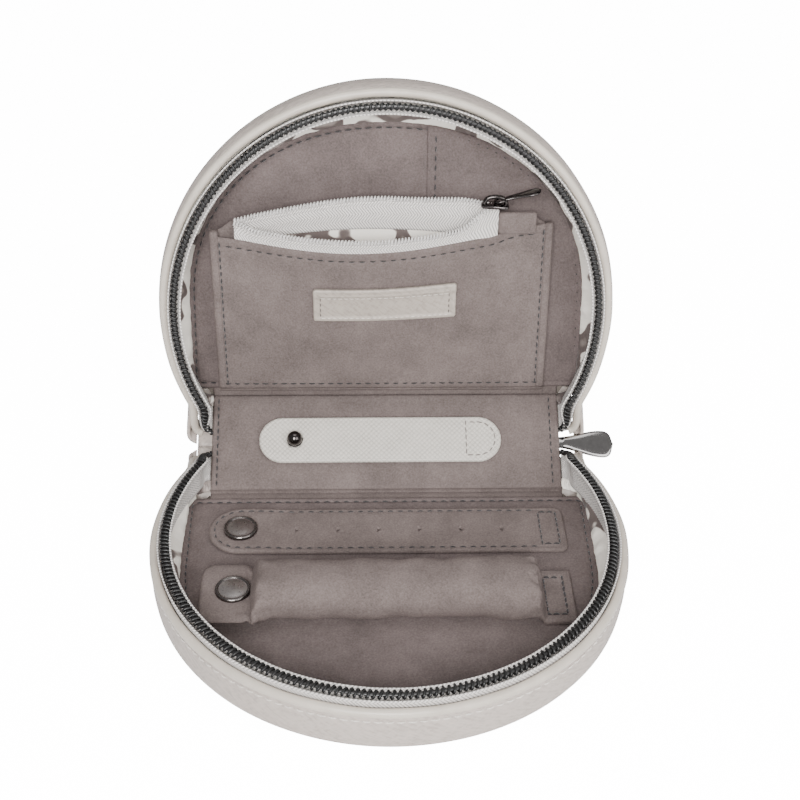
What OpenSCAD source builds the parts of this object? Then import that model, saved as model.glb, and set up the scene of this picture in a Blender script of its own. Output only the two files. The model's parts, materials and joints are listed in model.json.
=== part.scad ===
// Zip-around travel jewelry case, shown open: a round lower tray, a hinged spine and a
// round lid that stands behind it. All lengths are in millimetres, all angles in degrees.
// Origin: centre of the lower tray's underside. +Z up, +Y towards the hinge, +X right.

/* [Case] */
// Outer radius of the round walls
shell_r = 75.2; // [72:0.2:80]
// Distance from the centre of the circle to the straight fold line
chord_y = 36.6; // [34:0.2:40]
// Height of each half at its zipper
rim_h = 20; // [20:0.5:24]
// Radius of the rounded bottom edge of the walls
edge_r = 4; // [2:0.5:4.5]
// Setback of the wall ends from the fold line
wall_setback = 4.6; // [4.6:0.2:8]

/* [Open position] */
// Slope of the spine above the horizontal
spine_tilt = 34; // [20:1:60]
// Slope of the lid above the horizontal
lid_tilt = 79.3; // [70:0.1:90]

/* [Layers] */
// Thickness of the outer leather
leather_t = 1.4; // [1:0.1:1.6]
// Thickness of the stiffening boards
board_t = 1.0; // [0.8:0.1:1.2]
// Thickness of the foam under the floor and back panels
foam_t = 1.2; // [0.8:0.1:1.2]
// Thickness of the suede panels
suede_t = 0.7; // [0.5:0.1:0.7]

/* [Zipper] */
// Radius of the centre of the zipper coil
coil_r = 70.5; // [69:0.1:71]
// Width of one coil
coil_w = 3.4; // [3:0.1:3.8]
// Radius of the smooth piping
piping_r = 1.5; // [1:0.1:1.6]

/* [Earring strap] */
// Length of the earring strap
strap_l = 117.6; // [110:0.2:118]
// Width of the earring strap
strap_w = 21.6; // [18:0.2:22]
// Number of pierced earring holes
hole_n = 6; // [4:1:6]

/* [Ring roll] */
// Width of the stuffed ring roll
roll_w = 20.4; // [18:0.2:21]
// Height of the stuffed ring roll
roll_h = 13.8; // [12:0.2:14]

/* [Necklace strap] */
// Length of the necklace strap
bar_l = 83.8; // [78:0.2:86]
// Width of the necklace strap
bar_w = 16.4; // [14:0.2:17]
// Radius of the ball of its stud
ball_r = 2.6; // [2:0.1:2.6]

/* [Pouch] */
// Width of the zip pouch
pouch_w = 112.6; // [106:0.2:114]
// Height of the pouch's suede at its side seams
pouch_h = 60; // [54:0.5:61]
// How far the open mouth stands forward in the middle
mouth_bow = 9.5; // [6:0.5:9.5]
// Forward lean of the pouch away from the lid
pouch_lean = 5.5; // [4:0.5:8]

/* [Hidden] */

// Rings and discs are true circles; blends between them are kept coarse
$fn = 96;
blend_fn = 32;
far = 400;
gap = 0.05;

// Heights of the floor layers
board_z = leather_t;
foam_z = board_z + board_t;
panel_z = foam_z + foam_t + gap;
floor_z = panel_z + suede_t;
// Height of both fold lines above the outer leather, and the width of the spine between them
fold_z = 2;
spine_l = 2 * (rim_h - fold_z);
// Setback of the spine's layers from each fold line
spine_setback = 3;
wall_end_y = chord_y - wall_setback;

// Radii of the wall layers
wall_in_r = shell_r - leather_t;
wall_foam_in_r = wall_in_r - 1.3;
lining_in_r = wall_foam_in_r - 0.7;
panel_r = lining_in_r - 0.6;
wall_top_z = rim_h - 5.9;

// Colours
leather_c = [0.76, 0.74, 0.71];
suede_c = [0.56, 0.51, 0.50];
tape_c = [0.83, 0.81, 0.79];
print_c = [0.93, 0.91, 0.88];
metal_c = [0.35, 0.34, 0.34];
foam_c = [0.85, 0.84, 0.80];
board_c = [0.60, 0.52, 0.42];

// ---- Places ----

// Spine frame: X across, Y from the lower fold to the upper one, Z out of the lined face
module on_spine() {
  translate([0, chord_y, fold_z]) rotate([spine_tilt, 0, 0]) children();
}

// Lid frame: X across, Y from the upper fold to the lid's top, Z out of the lined face
module on_lid() {
  translate([0, chord_y + spine_l * cos(spine_tilt), fold_z + spine_l * sin(spine_tilt)])
    rotate([lid_tilt, 0, 0]) translate([0, 0, -fold_z]) children();
}

// Turns a shape drawn for the lower tray into the lid's
module as_lid() {
  on_lid() mirror([0, 1, 0]) translate([0, -chord_y, 0]) children();
}

// Pouch frame: X across from its middle, Y up the pouch from its hem, Z towards the front
pouch_x = -1.5;
hem_y = 6.5;
hem_z = floor_z + 2.8;
module on_pouch() {
  on_lid() translate([pouch_x, hem_y, hem_z]) rotate([pouch_lean, 0, 0]) children();
}

// ---- Shared shapes ----

// Everything in front of a line across the case
module in_front_of(y) {
  intersection() {
    children();
    translate([-far / 2, y - far, -far / 2]) cube([far, far, far]);
  }
}

// A round plate cut off at the fold line
module case_plate(r, z, t, setback) {
  in_front_of(chord_y - setback) translate([0, 0, z]) cylinder(r = r, h = t);
}

// A round wall between two radii, open at the hinge
module case_ring(r_in, r_out, z0, z1) {
  in_front_of(wall_end_y)
    rotate_extrude() translate([r_in, z0]) square([r_out - r_in, z1 - z0]);
}

// A plate with one round end at -X and a square end with small corners at +X
module tongue(x0, x1, w, corner_r) {
  union() {
    translate([x0 + w / 2, 0]) circle(r = w / 2);
    translate([x0 + w / 2, -w / 2]) square([x1 - corner_r - x0 - w / 2, w]);
    translate([x1 - corner_r - 1, -w / 2 + corner_r]) square([corner_r + 1, w - 2 * corner_r]);
    for (s = [-1, 1])
      translate([x1 - corner_r, s * (w / 2 - corner_r)]) circle(r = corner_r);
  }
}

// ---- The two halves of the case ----

module outer_base() {
  case_plate(shell_r - edge_r - gap, 0, leather_t, 0.2);
}

module outer_wall() {
  in_front_of(wall_end_y)
    rotate_extrude() union() {
      translate([wall_in_r, edge_r]) square([leather_t, wall_top_z - edge_r]);
      intersection() {
        translate([shell_r - edge_r, edge_r]) difference() {
          circle(r = edge_r);
          circle(r = edge_r - leather_t);
        }
        translate([shell_r - edge_r, 0]) square([edge_r, edge_r]);
      }
    }
}

module base_board() {
  case_plate(shell_r - edge_r - 0.5, board_z, board_t, 1);
}

module floor_foam() {
  case_plate(panel_r, foam_z, foam_t, 1);
}

module floor_panel() {
  case_plate(panel_r, panel_z, suede_t, 0.6);
}

module wall_foam() {
  case_ring(wall_foam_in_r, wall_in_r - gap, edge_r, wall_top_z);
}

module wall_lining() {
  case_ring(lining_in_r, wall_foam_in_r - gap, floor_z, wall_top_z - 1);
}

module piping() {
  in_front_of(wall_end_y)
    rotate_extrude() translate([shell_r - piping_r + 0.5, wall_top_z + piping_r])
      circle(r = piping_r, $fn = blend_fn);
}

// Tape: up the inside of the lining, then leaning in to the coil
module zipper_tape() {
  t = 0.6;
  r0 = lining_in_r - t - gap;
  in_front_of(wall_end_y)
    rotate_extrude() polygon([
      [r0, rim_h - 12], [r0 + t, rim_h - 12], [r0 + t, wall_top_z + 1],
      [coil_r + t / 2, rim_h - 1.9], [coil_r - t / 2, rim_h - 1.9], [r0, wall_top_z + 0.7]
    ]);
}

module zipper_coil() {
  case_ring(coil_r - coil_w / 2, coil_r + coil_w / 2, rim_h - 1.85, rim_h - 0.2);
}

module lower_outer_base() { color(leather_c) outer_base(); }
module lower_outer_wall() { color(leather_c) outer_wall(); }
module lower_base_board() { color(board_c) base_board(); }
module lower_floor_foam() { color(foam_c) floor_foam(); }
module lower_floor_panel() { color(suede_c) floor_panel(); }
module lower_wall_foam() { color(foam_c) wall_foam(); }
module lower_wall_lining() { color(print_c) wall_lining(); }
module lower_piping() { color(leather_c) piping(); }
module lower_zipper_tape() { color(tape_c) zipper_tape(); }
module lower_zipper_coil() { color(metal_c) zipper_coil(); }

module upper_outer_base() { color(leather_c) as_lid() outer_base(); }
module upper_outer_wall() { color(leather_c) as_lid() outer_wall(); }
module upper_base_board() { color(board_c) as_lid() base_board(); }
module upper_back_foam() { color(foam_c) as_lid() floor_foam(); }
module upper_back_panel() { color(suede_c) as_lid() floor_panel(); }
module upper_wall_foam() { color(foam_c) as_lid() wall_foam(); }
module upper_wall_lining() { color(print_c) as_lid() wall_lining(); }
module upper_piping() { color(leather_c) as_lid() piping(); }
module upper_zipper_tape() { color(tape_c) as_lid() zipper_tape(); }
module upper_zipper_coil() { color(metal_c) as_lid() zipper_coil(); }

// ---- Snap fasteners, drawn about their own axis ----
snap_r = 5.6;
snap_x = -48.6;
snap_stud_r = 1.8;
snap_post_r = 1.2;
fit = 0.1;
// Height of the underside of a fastened tab above the floor
snap_lift = 3.1;
tab_t = 2.0;

module snap_stud() {
  cylinder(r = 4.6, h = 0.8);
  cylinder(r = snap_stud_r - 0.3, h = 2.2);
  translate([0, 0, 1.6]) cylinder(r = snap_stud_r, h = 0.9);
}

// Ring that grips the stud, with a web that the cap's rivet passes through
module snap_socket() {
  difference() {
    translate([0, 0, 1.0]) cylinder(r = 4.4, h = snap_lift - 1.0 - gap);
    translate([0, 0, 0.9]) cylinder(r = snap_stud_r + 0.3, h = 1.7);
    cylinder(r = snap_post_r + fit, h = snap_lift + 1);
  }
}

// Domed cap with its rivet
module snap_cap() {
  z0 = snap_lift + tab_t + gap;
  translate([0, 0, snap_lift - 0.4]) cylinder(r = snap_post_r, h = tab_t + 0.6);
  translate([0, 0, z0]) rotate_extrude() union() {
    square([snap_r - 1.2, 1.7]);
    square([snap_r, 0.5]);
    intersection() {
      translate([snap_r - 1.2, 0.5]) circle(r = 1.2);
      translate([0, 0.4]) square([snap_r, 1.3]);
    }
  }
}

// ---- Earring strap on the floor ----
strap_y = 13.2;
strap_x0 = -59;
strap_bend_x = 50;
hole_r = 0.6;
hole_pitch = 13.5;
hole_x0 = -30.2;
// The strap comes down to the floor between these distances from its snap
ramp_from = 6.4;
ramp_to = 15;
strap_clear = 0.15;

module earring_place() {
  translate([0, strap_y, floor_z]) children();
}

// Side view of the strap: raised on its snap, flat on the floor further along
module strap_side(x_end) {
  low = [
    [strap_x0 - 1, snap_lift], [snap_x + ramp_from, snap_lift],
    [snap_x + ramp_to, strap_clear], [x_end, strap_clear]
  ];
  high = [for (i = [len(low) - 1 : -1 : 0]) low[i] + [0, tab_t]];
  rotate([90, 0, 0]) linear_extrude(height = 2 * strap_w, center = true)
    polygon(concat(low, high));
}

module earring_strap() {
  color(suede_c) earring_place() difference() {
    intersection() {
      strap_side(strap_bend_x - 0.2);
      linear_extrude(height = 12, center = true) tongue(strap_x0, strap_x0 + strap_l, strap_w, 3);
    }
    translate([snap_x, 0, -1]) cylinder(r = snap_post_r + fit, h = 9);
    for (i = [0 : hole_n - 1])
      translate([hole_x0 + i * hole_pitch, 0, -1]) cylinder(r = hole_r, h = 9, $fn = 24);
  }
}

module earring_strap_end() {
  color(suede_c) earring_place() intersection() {
    translate([strap_bend_x, -20, 0.02]) cube([20, 40, tab_t]);
    linear_extrude(height = 12, center = true) tongue(strap_x0, strap_x0 + strap_l, strap_w, 3);
  }
}

module earring_snap_stud() { color(metal_c) earring_place() translate([snap_x, 0, 0.02]) snap_stud(); }
module earring_snap_socket() { color(metal_c) earring_place() translate([snap_x, 0, 0]) snap_socket(); }
module earring_snap_cap() { color(metal_c) earring_place() translate([snap_x, 0, 0]) snap_cap(); }

// ---- Ring roll on the floor ----
roll_y = -21;
roll_x0 = -42;
roll_x1 = 45;
roll_tab_x0 = -59;
roll_bend_x = 48.6;
roll_end_x = 58;
roll_tab_w = 26;
cover_t = 0.9;

module roll_place() {
  translate([0, roll_y, floor_z]) children();
}

// Flattened round section of the stuffed body, extruded along X
module roll_section(x0, x1, inset) {
  r = roll_h / 2 - inset;
  half = roll_w / 2 - roll_h / 2;
  translate([x0, 0, 0.2 + roll_h / 2]) rotate([90, 0, 90]) linear_extrude(height = x1 - x0) union() {
    square([2 * half, 2 * r], center = true);
    for (s = [-1, 1]) translate([s * half, 0]) circle(r = r, $fn = 64);
  }
}

module ring_roll_cover() {
  color(suede_c) roll_place() difference() {
    union() {
      roll_section(roll_x0, roll_x1, 0);
      // flat tab that carries the snap
      translate([0, 0, snap_lift]) linear_extrude(height = tab_t)
        tongue(roll_tab_x0, roll_x0 + 1, roll_tab_w, 0.5);
      // short flat neck towards the sewn end
      translate([roll_x1 - 1, -roll_w / 2, 0.4]) cube([roll_bend_x - 0.3 - roll_x1 + 1, roll_w, tab_t]);
    }
    roll_section(roll_x0 + cover_t, roll_x1 - cover_t, cover_t);
    translate([snap_x, 0, 0]) cylinder(r = snap_post_r + fit, h = 9);
  }
}

module ring_roll_core() {
  color(foam_c) roll_place() roll_section(roll_x0 + cover_t + gap, roll_x1 - cover_t - gap, cover_t + gap);
}

module ring_roll_end_tab() {
  color(suede_c) roll_place() translate([0, 0, 0.02]) linear_extrude(height = tab_t)
    intersection() {
      tongue(roll_tab_x0, roll_end_x, roll_tab_w - 3, 1.5);
      translate([roll_bend_x, -20]) square([20, 40]);
    }
}

module ring_snap_stud() { color(metal_c) roll_place() translate([snap_x, 0, 0.02]) snap_stud(); }
module ring_snap_socket() { color(metal_c) roll_place() translate([snap_x, 0, 0]) snap_socket(); }
module ring_snap_cap() { color(metal_c) roll_place() translate([snap_x, 0, 0]) snap_cap(); }

// ---- Spine, layered from its leather to its suede ----
spine_w = 132;
lining_w = 120.8;
spine_out_z = -1.5;
spine_board_z = spine_out_z + 1.2 + gap;
spine_foam_z = spine_board_z + 0.8 + gap;
spine_lining_z = 3.1;
spine_top_z = spine_lining_z + 0.8;
slider_y = spine_l / 2;
slider_x0 = 50.5;
slider_x1 = 60.2;
slider_w = 8.6;
stud_x = -31.7;

// A layer of the spine, straight across, set back from both folds
module spine_layer(w, z, t) {
  translate([-w / 2, spine_setback, z]) cube([w, spine_l - 2 * spine_setback, t]);
}

// Room for the parked slider and its pull at the right-hand edge
slider_room = 1.4;
module slider_pocket(x0, z0, z1) {
  translate([x0, slider_y - slider_w / 2 - slider_room, z0])
    cube([30, slider_w + 2 * slider_room, z1 - z0]);
}

module outer_spine() {
  color(leather_c) on_spine() difference() {
    spine_layer(spine_w, spine_out_z, 1.2);
    slider_pocket(slider_x1 - 2.6, -5, 5);
  }
}

module spine_board() {
  color(board_c) on_spine() spine_layer(2 * (slider_x0 - 1.5), spine_board_z, 0.8);
}

module spine_foam() {
  color(foam_c) on_spine() difference() {
    spine_layer(lining_w - 2, spine_foam_z, spine_lining_z - spine_foam_z - gap);
    slider_pocket(slider_x0 - 1, -5, 9);
    translate([stud_x, slider_y, spine_lining_z - 1.1]) cylinder(r = 4, h = 3);
  }
}

module spine_lining() {
  color(suede_c) on_spine() difference() {
    spine_layer(lining_w, spine_lining_z, spine_top_z - spine_lining_z);
    translate([stud_x, slider_y, 0]) cylinder(r = 1.3, h = 9);
  }
}

bar_x0 = -44;
bar_bend_x = 26.4;
bar_t = 2.0;
bar_z = spine_top_z + 0.25;

// Necklace strap outline: round at both ends
module bar_outline() {
  union() {
    translate([bar_x0 + bar_w / 2, -bar_w / 2]) square([bar_l - bar_w, bar_w]);
    for (x = [bar_x0 + bar_w / 2, bar_x0 + bar_l - bar_w / 2])
      translate([x, 0]) circle(r = bar_w / 2);
  }
}

module necklace_strap() {
  color(leather_c) on_spine() translate([0, slider_y, bar_z]) linear_extrude(height = bar_t) difference() {
    intersection() {
      bar_outline();
      translate([-far, -far / 2]) square([far + bar_bend_x - 0.2, far]);
    }
    translate([stud_x, 0]) circle(r = ball_r + 0.3);
  }
}

module necklace_strap_end() {
  color(leather_c) on_spine() translate([0, slider_y, spine_top_z + 0.02])
    linear_extrude(height = bar_t + 0.2) intersection() {
      bar_outline();
      translate([bar_bend_x, -far / 2]) square([far, far]);
    }
}

module ball_stud() {
  color(metal_c) on_spine() translate([stud_x, slider_y, 0]) union() {
    translate([0, 0, spine_lining_z - 0.85]) cylinder(r = 3.8, h = 0.8);
    translate([0, 0, spine_lining_z - 0.5]) cylinder(r = 1.2, h = bar_z + bar_t + 1.2 - spine_lining_z);
    translate([0, 0, bar_z + bar_t + 1.0]) sphere(r = ball_r);
  }
}

// Parked slider: two plates on a bridge, with a cross pin for the pull
pull_x = 58.2;
pull_z = 1.4;
pull_l = 22;
pull_droop = 8;
pin_r = 0.8;

module main_slider() {
  color(metal_c) on_spine() translate([0, slider_y, 0]) difference() {
    union() {
      translate([slider_x0, -slider_w / 2, -0.15]) cube([slider_x1 - slider_x0, slider_w, 0.9]);
      translate([slider_x0, -slider_w / 2, 2.1]) cube([5.4, slider_w, 0.9]);
      translate([slider_x0, -1.2, 0.5]) cube([2, 2.4, 2]);
      for (s = [-1, 1])
        translate([pull_x, s * 3.2, pull_z]) rotate([90, 0, 0]) cylinder(r = 1.5, h = 1.4, center = true);
      translate([pull_x, 0, pull_z]) rotate([90, 0, 0]) cylinder(r = pin_r, h = 7, center = true);
    }
    // the pull's eye turns in this gap
    translate([pull_x - 2.6, -2.4, -1]) cube([8, 4.8, 1.85]);
  }
}

// Teardrop pull with an eye round the pin
module main_pull_tab() {
  color(metal_c) on_spine() translate([pull_x, slider_y, pull_z]) rotate([0, pull_droop, 0]) difference() {
    union() {
      rotate([90, 0, 0]) cylinder(r = 1.5, h = 4.2, center = true);
      translate([0, 0, -0.6]) linear_extrude(height = 1.2) union() {
        polygon([[0, -2.1], [0, 2.1], [5, 2.2], [pull_l - 7, 4.9], [pull_l - 4.9, 5.0],
                 [pull_l - 4.9, -5.0], [pull_l - 7, -4.9], [5, -2.2]]);
        translate([pull_l - 5, 0]) circle(r = 5.0);
      }
    }
    rotate([90, 0, 0]) cylinder(r = pin_r + fit / 2, h = 9, center = true);
  }
}

// ---- Lid contents ----

pocket_x = 13;
pocket_top_y = 96;

// Flat pocket behind the pouch, on the right half of the lid
module side_pocket_panel() {
  color(suede_c) on_lid() translate([0, 0, floor_z + gap]) linear_extrude(height = 0.5) intersection() {
    translate([0, chord_y]) circle(r = panel_r - 4);
    translate([pocket_x, hem_y]) square([far, pocket_top_y - hem_y]);
  }
}

// Half width of the pouch, the inset of its teeth, and how its mouth rises and falls
half_w = pouch_w / 2;
mouth_half = 51;
seam_gap = 1.0;
twist_z = 3;
front_sag = -3;
back_rise = 4.5;
tape_h = 4.4;
teeth_h = 1.4;
end_tab_l = 10;
end_tab_lift = 2.4;
// The tapes and teeth stop short of the right-hand end of the mouth
tape_stop = 14;
teeth_stop = 17;
// Label plate
label_x0 = -23;
label_x1 = 24.6;
label_y0 = 26;
label_y1 = 38;

// Shape factor across the pouch: 1 in the middle, 0 at the side seams
function across(x) = let (q = min(1, abs(x) / half_w)) 1 - q * q;
// Forward place of the pouch's front and back sheets at (x, y)
function lean_z(x, y) = -twist_z * (x / half_w) * (y / pouch_h);
function front_z(x, y) = lean_z(x, y) + mouth_bow * across(x) * pow(max(y, 0) / pouch_h, 1.3);
function sheet_z(x, y, front) = front ? front_z(x, y) : lean_z(x, y);

// A thin bowed sheet: x0..x1 wide, from y0 up to y1 plus a rise in the middle,
// starting z0 off the front or back sheet and t thick
module bowed_sheet(x0, x1, y0, y1, rise0, rise1, z0, t, front, nx = 22, ny = 6) {
  pts = [
    for (k = [0, 1])
      for (j = [0 : ny])
        for (i = [0 : nx])
          let (
            x = x0 + (x1 - x0) * i / nx,
            lo = y0 + rise0 * across(x),
            hi = y1 + rise1 * across(x),
            y = lo + (hi - lo) * j / ny
          ) [x, y, sheet_z(x, y, front) + z0 + k * t]
  ];
  row = nx + 1;
  lay = row * (ny + 1);
  bottom = [for (j = [0 : ny - 1]) for (i = [0 : nx - 1])
    [j * row + i, j * row + i + 1, (j + 1) * row + i + 1, (j + 1) * row + i]];
  top = [for (f = bottom) [lay + f[3], lay + f[2], lay + f[1], lay + f[0]]];
  ends = [for (j = [0 : ny - 1]) [j * row, (j + 1) * row, lay + (j + 1) * row, lay + j * row]];
  far_ends = [for (j = [0 : ny - 1])
    [j * row + nx, lay + j * row + nx, lay + (j + 1) * row + nx, (j + 1) * row + nx]];
  lows = [for (i = [0 : nx - 1]) [i, lay + i, lay + i + 1, i + 1]];
  highs = [for (i = [0 : nx - 1])
    [ny * row + i, ny * row + i + 1, lay + ny * row + i + 1, lay + ny * row + i]];
  split = [for (q = concat(bottom, top, ends, far_ends, lows, highs))
    for (tri = [[q[0], q[1], q[2]], [q[0], q[2], q[3]]]) tri];
  polyhedron(points = pts, faces = split);
}

// Strip that sews the bottom of the pouch to the lid
module pouch_hem() {
  color(suede_c) on_lid() translate([pouch_x - half_w, hem_y - 2.3, floor_z + 0.6])
    cube([pouch_w, 2.1, 2.6]);
}

module pouch_back_panel() {
  color(suede_c) on_pouch()
    bowed_sheet(-half_w, half_w, 0.3, pouch_h, 0, back_rise - 1, -1.7, 0.6, false);
}

module pouch_front_panel() {
  color(suede_c) on_pouch()
    bowed_sheet(-half_w, half_w, 0.3, pouch_h, 0, front_sag, seam_gap, 0.8, true);
}

module pouch_back_lining() {
  color(print_c) on_pouch()
    bowed_sheet(-half_w + 3, half_w - 3, 2, pouch_h - 1, 0, back_rise, -1.05, 0.4, false);
}

module pouch_front_lining() {
  color(print_c) on_pouch()
    bowed_sheet(-half_w + 3, half_w - 3, 2, pouch_h - 1, 0, front_sag, seam_gap - 0.62, 0.4, true);
}

// Filled seams down both sides of the pouch
module pouch_side_seams() {
  color(suede_c) on_pouch() for (s = [-1, 1])
    bowed_sheet(s > 0 ? half_w - 2.6 : -half_w, s > 0 ? half_w : -half_w + 2.6,
                0.5, pouch_h - 0.5, 0, 0, -1.05, 2, false, 2, 6);
}

module pouch_back_tape() {
  color(tape_c) on_pouch()
    bowed_sheet(-mouth_half, mouth_half - tape_stop, pouch_h - 0.6, pouch_h + tape_h,
                back_rise, back_rise, -0.6, 0.5, false, 22, 2);
}

module pouch_front_tape() {
  color(tape_c) on_pouch()
    bowed_sheet(-mouth_half, mouth_half - tape_stop, pouch_h + 0.1, pouch_h + tape_h,
                front_sag, front_sag, seam_gap, 0.5, true, 22, 2);
}

module pouch_back_teeth() {
  color(tape_c) on_pouch()
    bowed_sheet(-mouth_half + 1, mouth_half - teeth_stop, pouch_h + tape_h + gap,
                pouch_h + tape_h + teeth_h, back_rise, back_rise, -0.9, 1.1, false, 22, 1);
}

module pouch_front_teeth() {
  color(tape_c) on_pouch()
    bowed_sheet(-mouth_half + 1, mouth_half - teeth_stop, pouch_h + tape_h + gap,
                pouch_h + tape_h + teeth_h, front_sag, front_sag, seam_gap - 0.4, 1.1, true, 22, 1);
}

// Folded suede tab that closes the zipper's right-hand end
module pouch_end_tab() {
  color(suede_c) on_pouch()
    translate([mouth_half - end_tab_l, pouch_h + end_tab_lift, lean_z(mouth_half, pouch_h) - 1])
      cube([end_tab_l, 4.0, 2.6]);
}

module label_plate() {
  color(leather_c) on_pouch()
    bowed_sheet(label_x0, label_x1, label_y0, label_y1, 0, 0, seam_gap + 0.85, 1.3, true, 16, 3);
}

// Slider and pull of the pouch; the slider runs along the mouth just above its teeth
pslider_x = 36.4;
pslider_y = pouch_h + tape_h + 3.9;
pslider_z = lean_z(pslider_x, pouch_h) + 3.6;
pslider_l = 8.4;
pslider_w = 6;
plate_t = 1.1;
bridge_w = 1.8;
bridge_half = 2.9;
bridge_top = 2.9;
ppull_x = 0.2;
ppull_y = 1.35;
ppull_l = 15;
ppull_t = 0.8;
ppull_rise = 14;

module pslider_place() {
  on_pouch() translate([pslider_x, pslider_y, pslider_z]) children();
}

// A plate over the teeth, with a bridge for the pull
module pouch_slider() {
  color(metal_c) pslider_place() union() {
    hull() {
      for (s = [-1, 1])
        translate([pslider_l / 2 - 1.5, 0, s * (pslider_w / 2 - 1)])
          rotate([90, 0, 0]) cylinder(r = 1, h = plate_t, center = true, $fn = blend_fn);
      translate([1.6 - pslider_l / 2, 0, 0])
        rotate([90, 0, 0]) cylinder(r = 1.6, h = plate_t, center = true, $fn = blend_fn);
    }
    for (x = [0.2 - bridge_half, bridge_half - 0.8 + 0.2])
      translate([x, 0.4, -bridge_w / 2]) cube([0.8, bridge_top - 0.5, bridge_w]);
    translate([0.2 - bridge_half, bridge_top - 0.7, -bridge_w / 2]) cube([2 * bridge_half, 0.7, bridge_w]);
  }
}

// Flat pull: a cross pin under the bridge, a rail each side of it and a round-ended plate
module pouch_pull_tab() {
  color(metal_c) pslider_place() translate([ppull_x, ppull_y, 0]) rotate([0, 0, ppull_rise]) union() {
    cylinder(r = 0.55, h = 4, center = true);
    for (s = [-1, 1])
      translate([0, -ppull_t / 2, s * 1.6 - 0.4]) cube([3.6, ppull_t, 0.8]);
    translate([3.4, ppull_t / 2, 0]) rotate([90, 0, 0]) linear_extrude(height = ppull_t) union() {
      polygon([[0, -2], [0, 2], [ppull_l - 8, 3], [ppull_l - 6.4, 3],
               [ppull_l - 6.4, -3], [ppull_l - 8, -3]]);
      translate([ppull_l - 6.4, 0]) circle(r = 3);
    }
  }
}

lower_outer_base();
lower_outer_wall();
lower_base_board();
lower_floor_foam();
lower_floor_panel();
lower_wall_foam();
lower_wall_lining();
lower_piping();
lower_zipper_tape();
lower_zipper_coil();
earring_strap();
earring_strap_end();
earring_snap_cap();
earring_snap_socket();
earring_snap_stud();
ring_roll_cover();
ring_roll_core();
ring_roll_end_tab();
ring_snap_cap();
ring_snap_socket();
ring_snap_stud();
outer_spine();
spine_board();
spine_foam();
spine_lining();
necklace_strap();
necklace_strap_end();
ball_stud();
main_slider();
main_pull_tab();
upper_outer_base();
upper_outer_wall();
upper_base_board();
upper_back_foam();
upper_back_panel();
side_pocket_panel();
upper_wall_foam();
upper_wall_lining();
upper_piping();
upper_zipper_tape();
upper_zipper_coil();
pouch_hem();
pouch_back_panel();
pouch_front_panel();
pouch_side_seams();
pouch_back_lining();
pouch_front_lining();
pouch_back_tape();
pouch_front_tape();
pouch_back_teeth();
pouch_front_teeth();
pouch_end_tab();
label_plate();
pouch_slider();
pouch_pull_tab();
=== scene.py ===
"""Looks of a round travel jewelry case, open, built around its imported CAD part.

Shapes are drawn in millimetres in four frames: the tray's own, the spine's, the lid's and the
pouch's. Every frame's place comes from the part's joints."""

import json
import math
import random

import bmesh
import bpy
import numpy as np
from mathutils import Matrix, Vector, noise


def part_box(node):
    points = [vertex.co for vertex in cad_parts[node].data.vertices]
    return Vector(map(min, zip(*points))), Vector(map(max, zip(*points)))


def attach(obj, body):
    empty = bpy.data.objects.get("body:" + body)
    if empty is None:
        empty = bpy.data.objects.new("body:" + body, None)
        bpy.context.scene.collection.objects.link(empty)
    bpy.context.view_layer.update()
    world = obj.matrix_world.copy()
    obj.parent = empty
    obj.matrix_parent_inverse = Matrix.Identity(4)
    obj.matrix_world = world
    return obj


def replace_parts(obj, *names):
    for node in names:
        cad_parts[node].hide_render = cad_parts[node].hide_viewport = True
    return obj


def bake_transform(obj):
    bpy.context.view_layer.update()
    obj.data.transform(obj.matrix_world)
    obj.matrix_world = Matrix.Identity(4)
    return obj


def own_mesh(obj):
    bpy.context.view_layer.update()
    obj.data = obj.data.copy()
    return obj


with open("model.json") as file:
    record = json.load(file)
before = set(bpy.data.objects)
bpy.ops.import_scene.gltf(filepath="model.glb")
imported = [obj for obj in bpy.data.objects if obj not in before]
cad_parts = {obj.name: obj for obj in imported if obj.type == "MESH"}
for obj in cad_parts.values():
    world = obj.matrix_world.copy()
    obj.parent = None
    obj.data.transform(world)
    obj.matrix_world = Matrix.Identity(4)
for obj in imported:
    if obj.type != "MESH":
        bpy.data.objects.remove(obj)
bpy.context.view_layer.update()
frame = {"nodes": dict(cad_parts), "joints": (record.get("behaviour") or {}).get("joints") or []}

MM = 0.001
TAU = 2 * math.pi


# ---------------------------------------------------------------- frames

def joint(name):
    return next(j for j in frame["joints"] if j["name"] == name)


def tilted_frame(pivot, tilt, drop=0.0):
    """A frame hinged about X at pivot: x across, y along its face, z out of it, in mm."""
    turn = Matrix.Rotation(tilt, 3, "X")

    def place(x, y, z):
        return pivot + turn @ Vector((x, y, z - drop)) * MM
    return place


SPINE_PIVOT = Vector(joint("spine_fold")["pos_m"])
LID_PIVOT = Vector(joint("lid_fold")["pos_m"])
POUCH_PIVOT = Vector(joint("pouch_tilt")["pos_m"])
SPINE_TILT = -math.radians(joint("spine_fold")["range_deg"][0])
LID_TILT = SPINE_TILT - math.radians(joint("lid_fold")["range_deg"][0])
POUCH_LEAN = math.radians(5.5)
CHORD_Y = SPINE_PIVOT.y / MM
FOLD_Z = SPINE_PIVOT.z / MM
SPINE_L = (LID_PIVOT - SPINE_PIVOT).length / MM

spine = tilted_frame(SPINE_PIVOT, SPINE_TILT)
lid = tilted_frame(LID_PIVOT, LID_TILT, FOLD_Z)
pouch = tilted_frame(POUCH_PIVOT, LID_TILT + POUCH_LEAN)


def tray(x, y, z):
    return Vector((x, y, z)) * MM


def lid_as_tray(x, y, z):
    """A point drawn for the tray, in the lid."""
    return lid(x, CHORD_Y - y, z)


def spine_from_top(x, l, n):
    """A point drawn from the lower fold, measured from the upper one instead."""
    return spine(x, SPINE_L - l, n)


def box_mm(node):
    low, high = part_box(node)
    return low / MM, high / MM


def up_of(place):
    """The direction out of a frame's face."""
    return (place(0, 0, 1) - place(0, 0, 0)).normalized()


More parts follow.
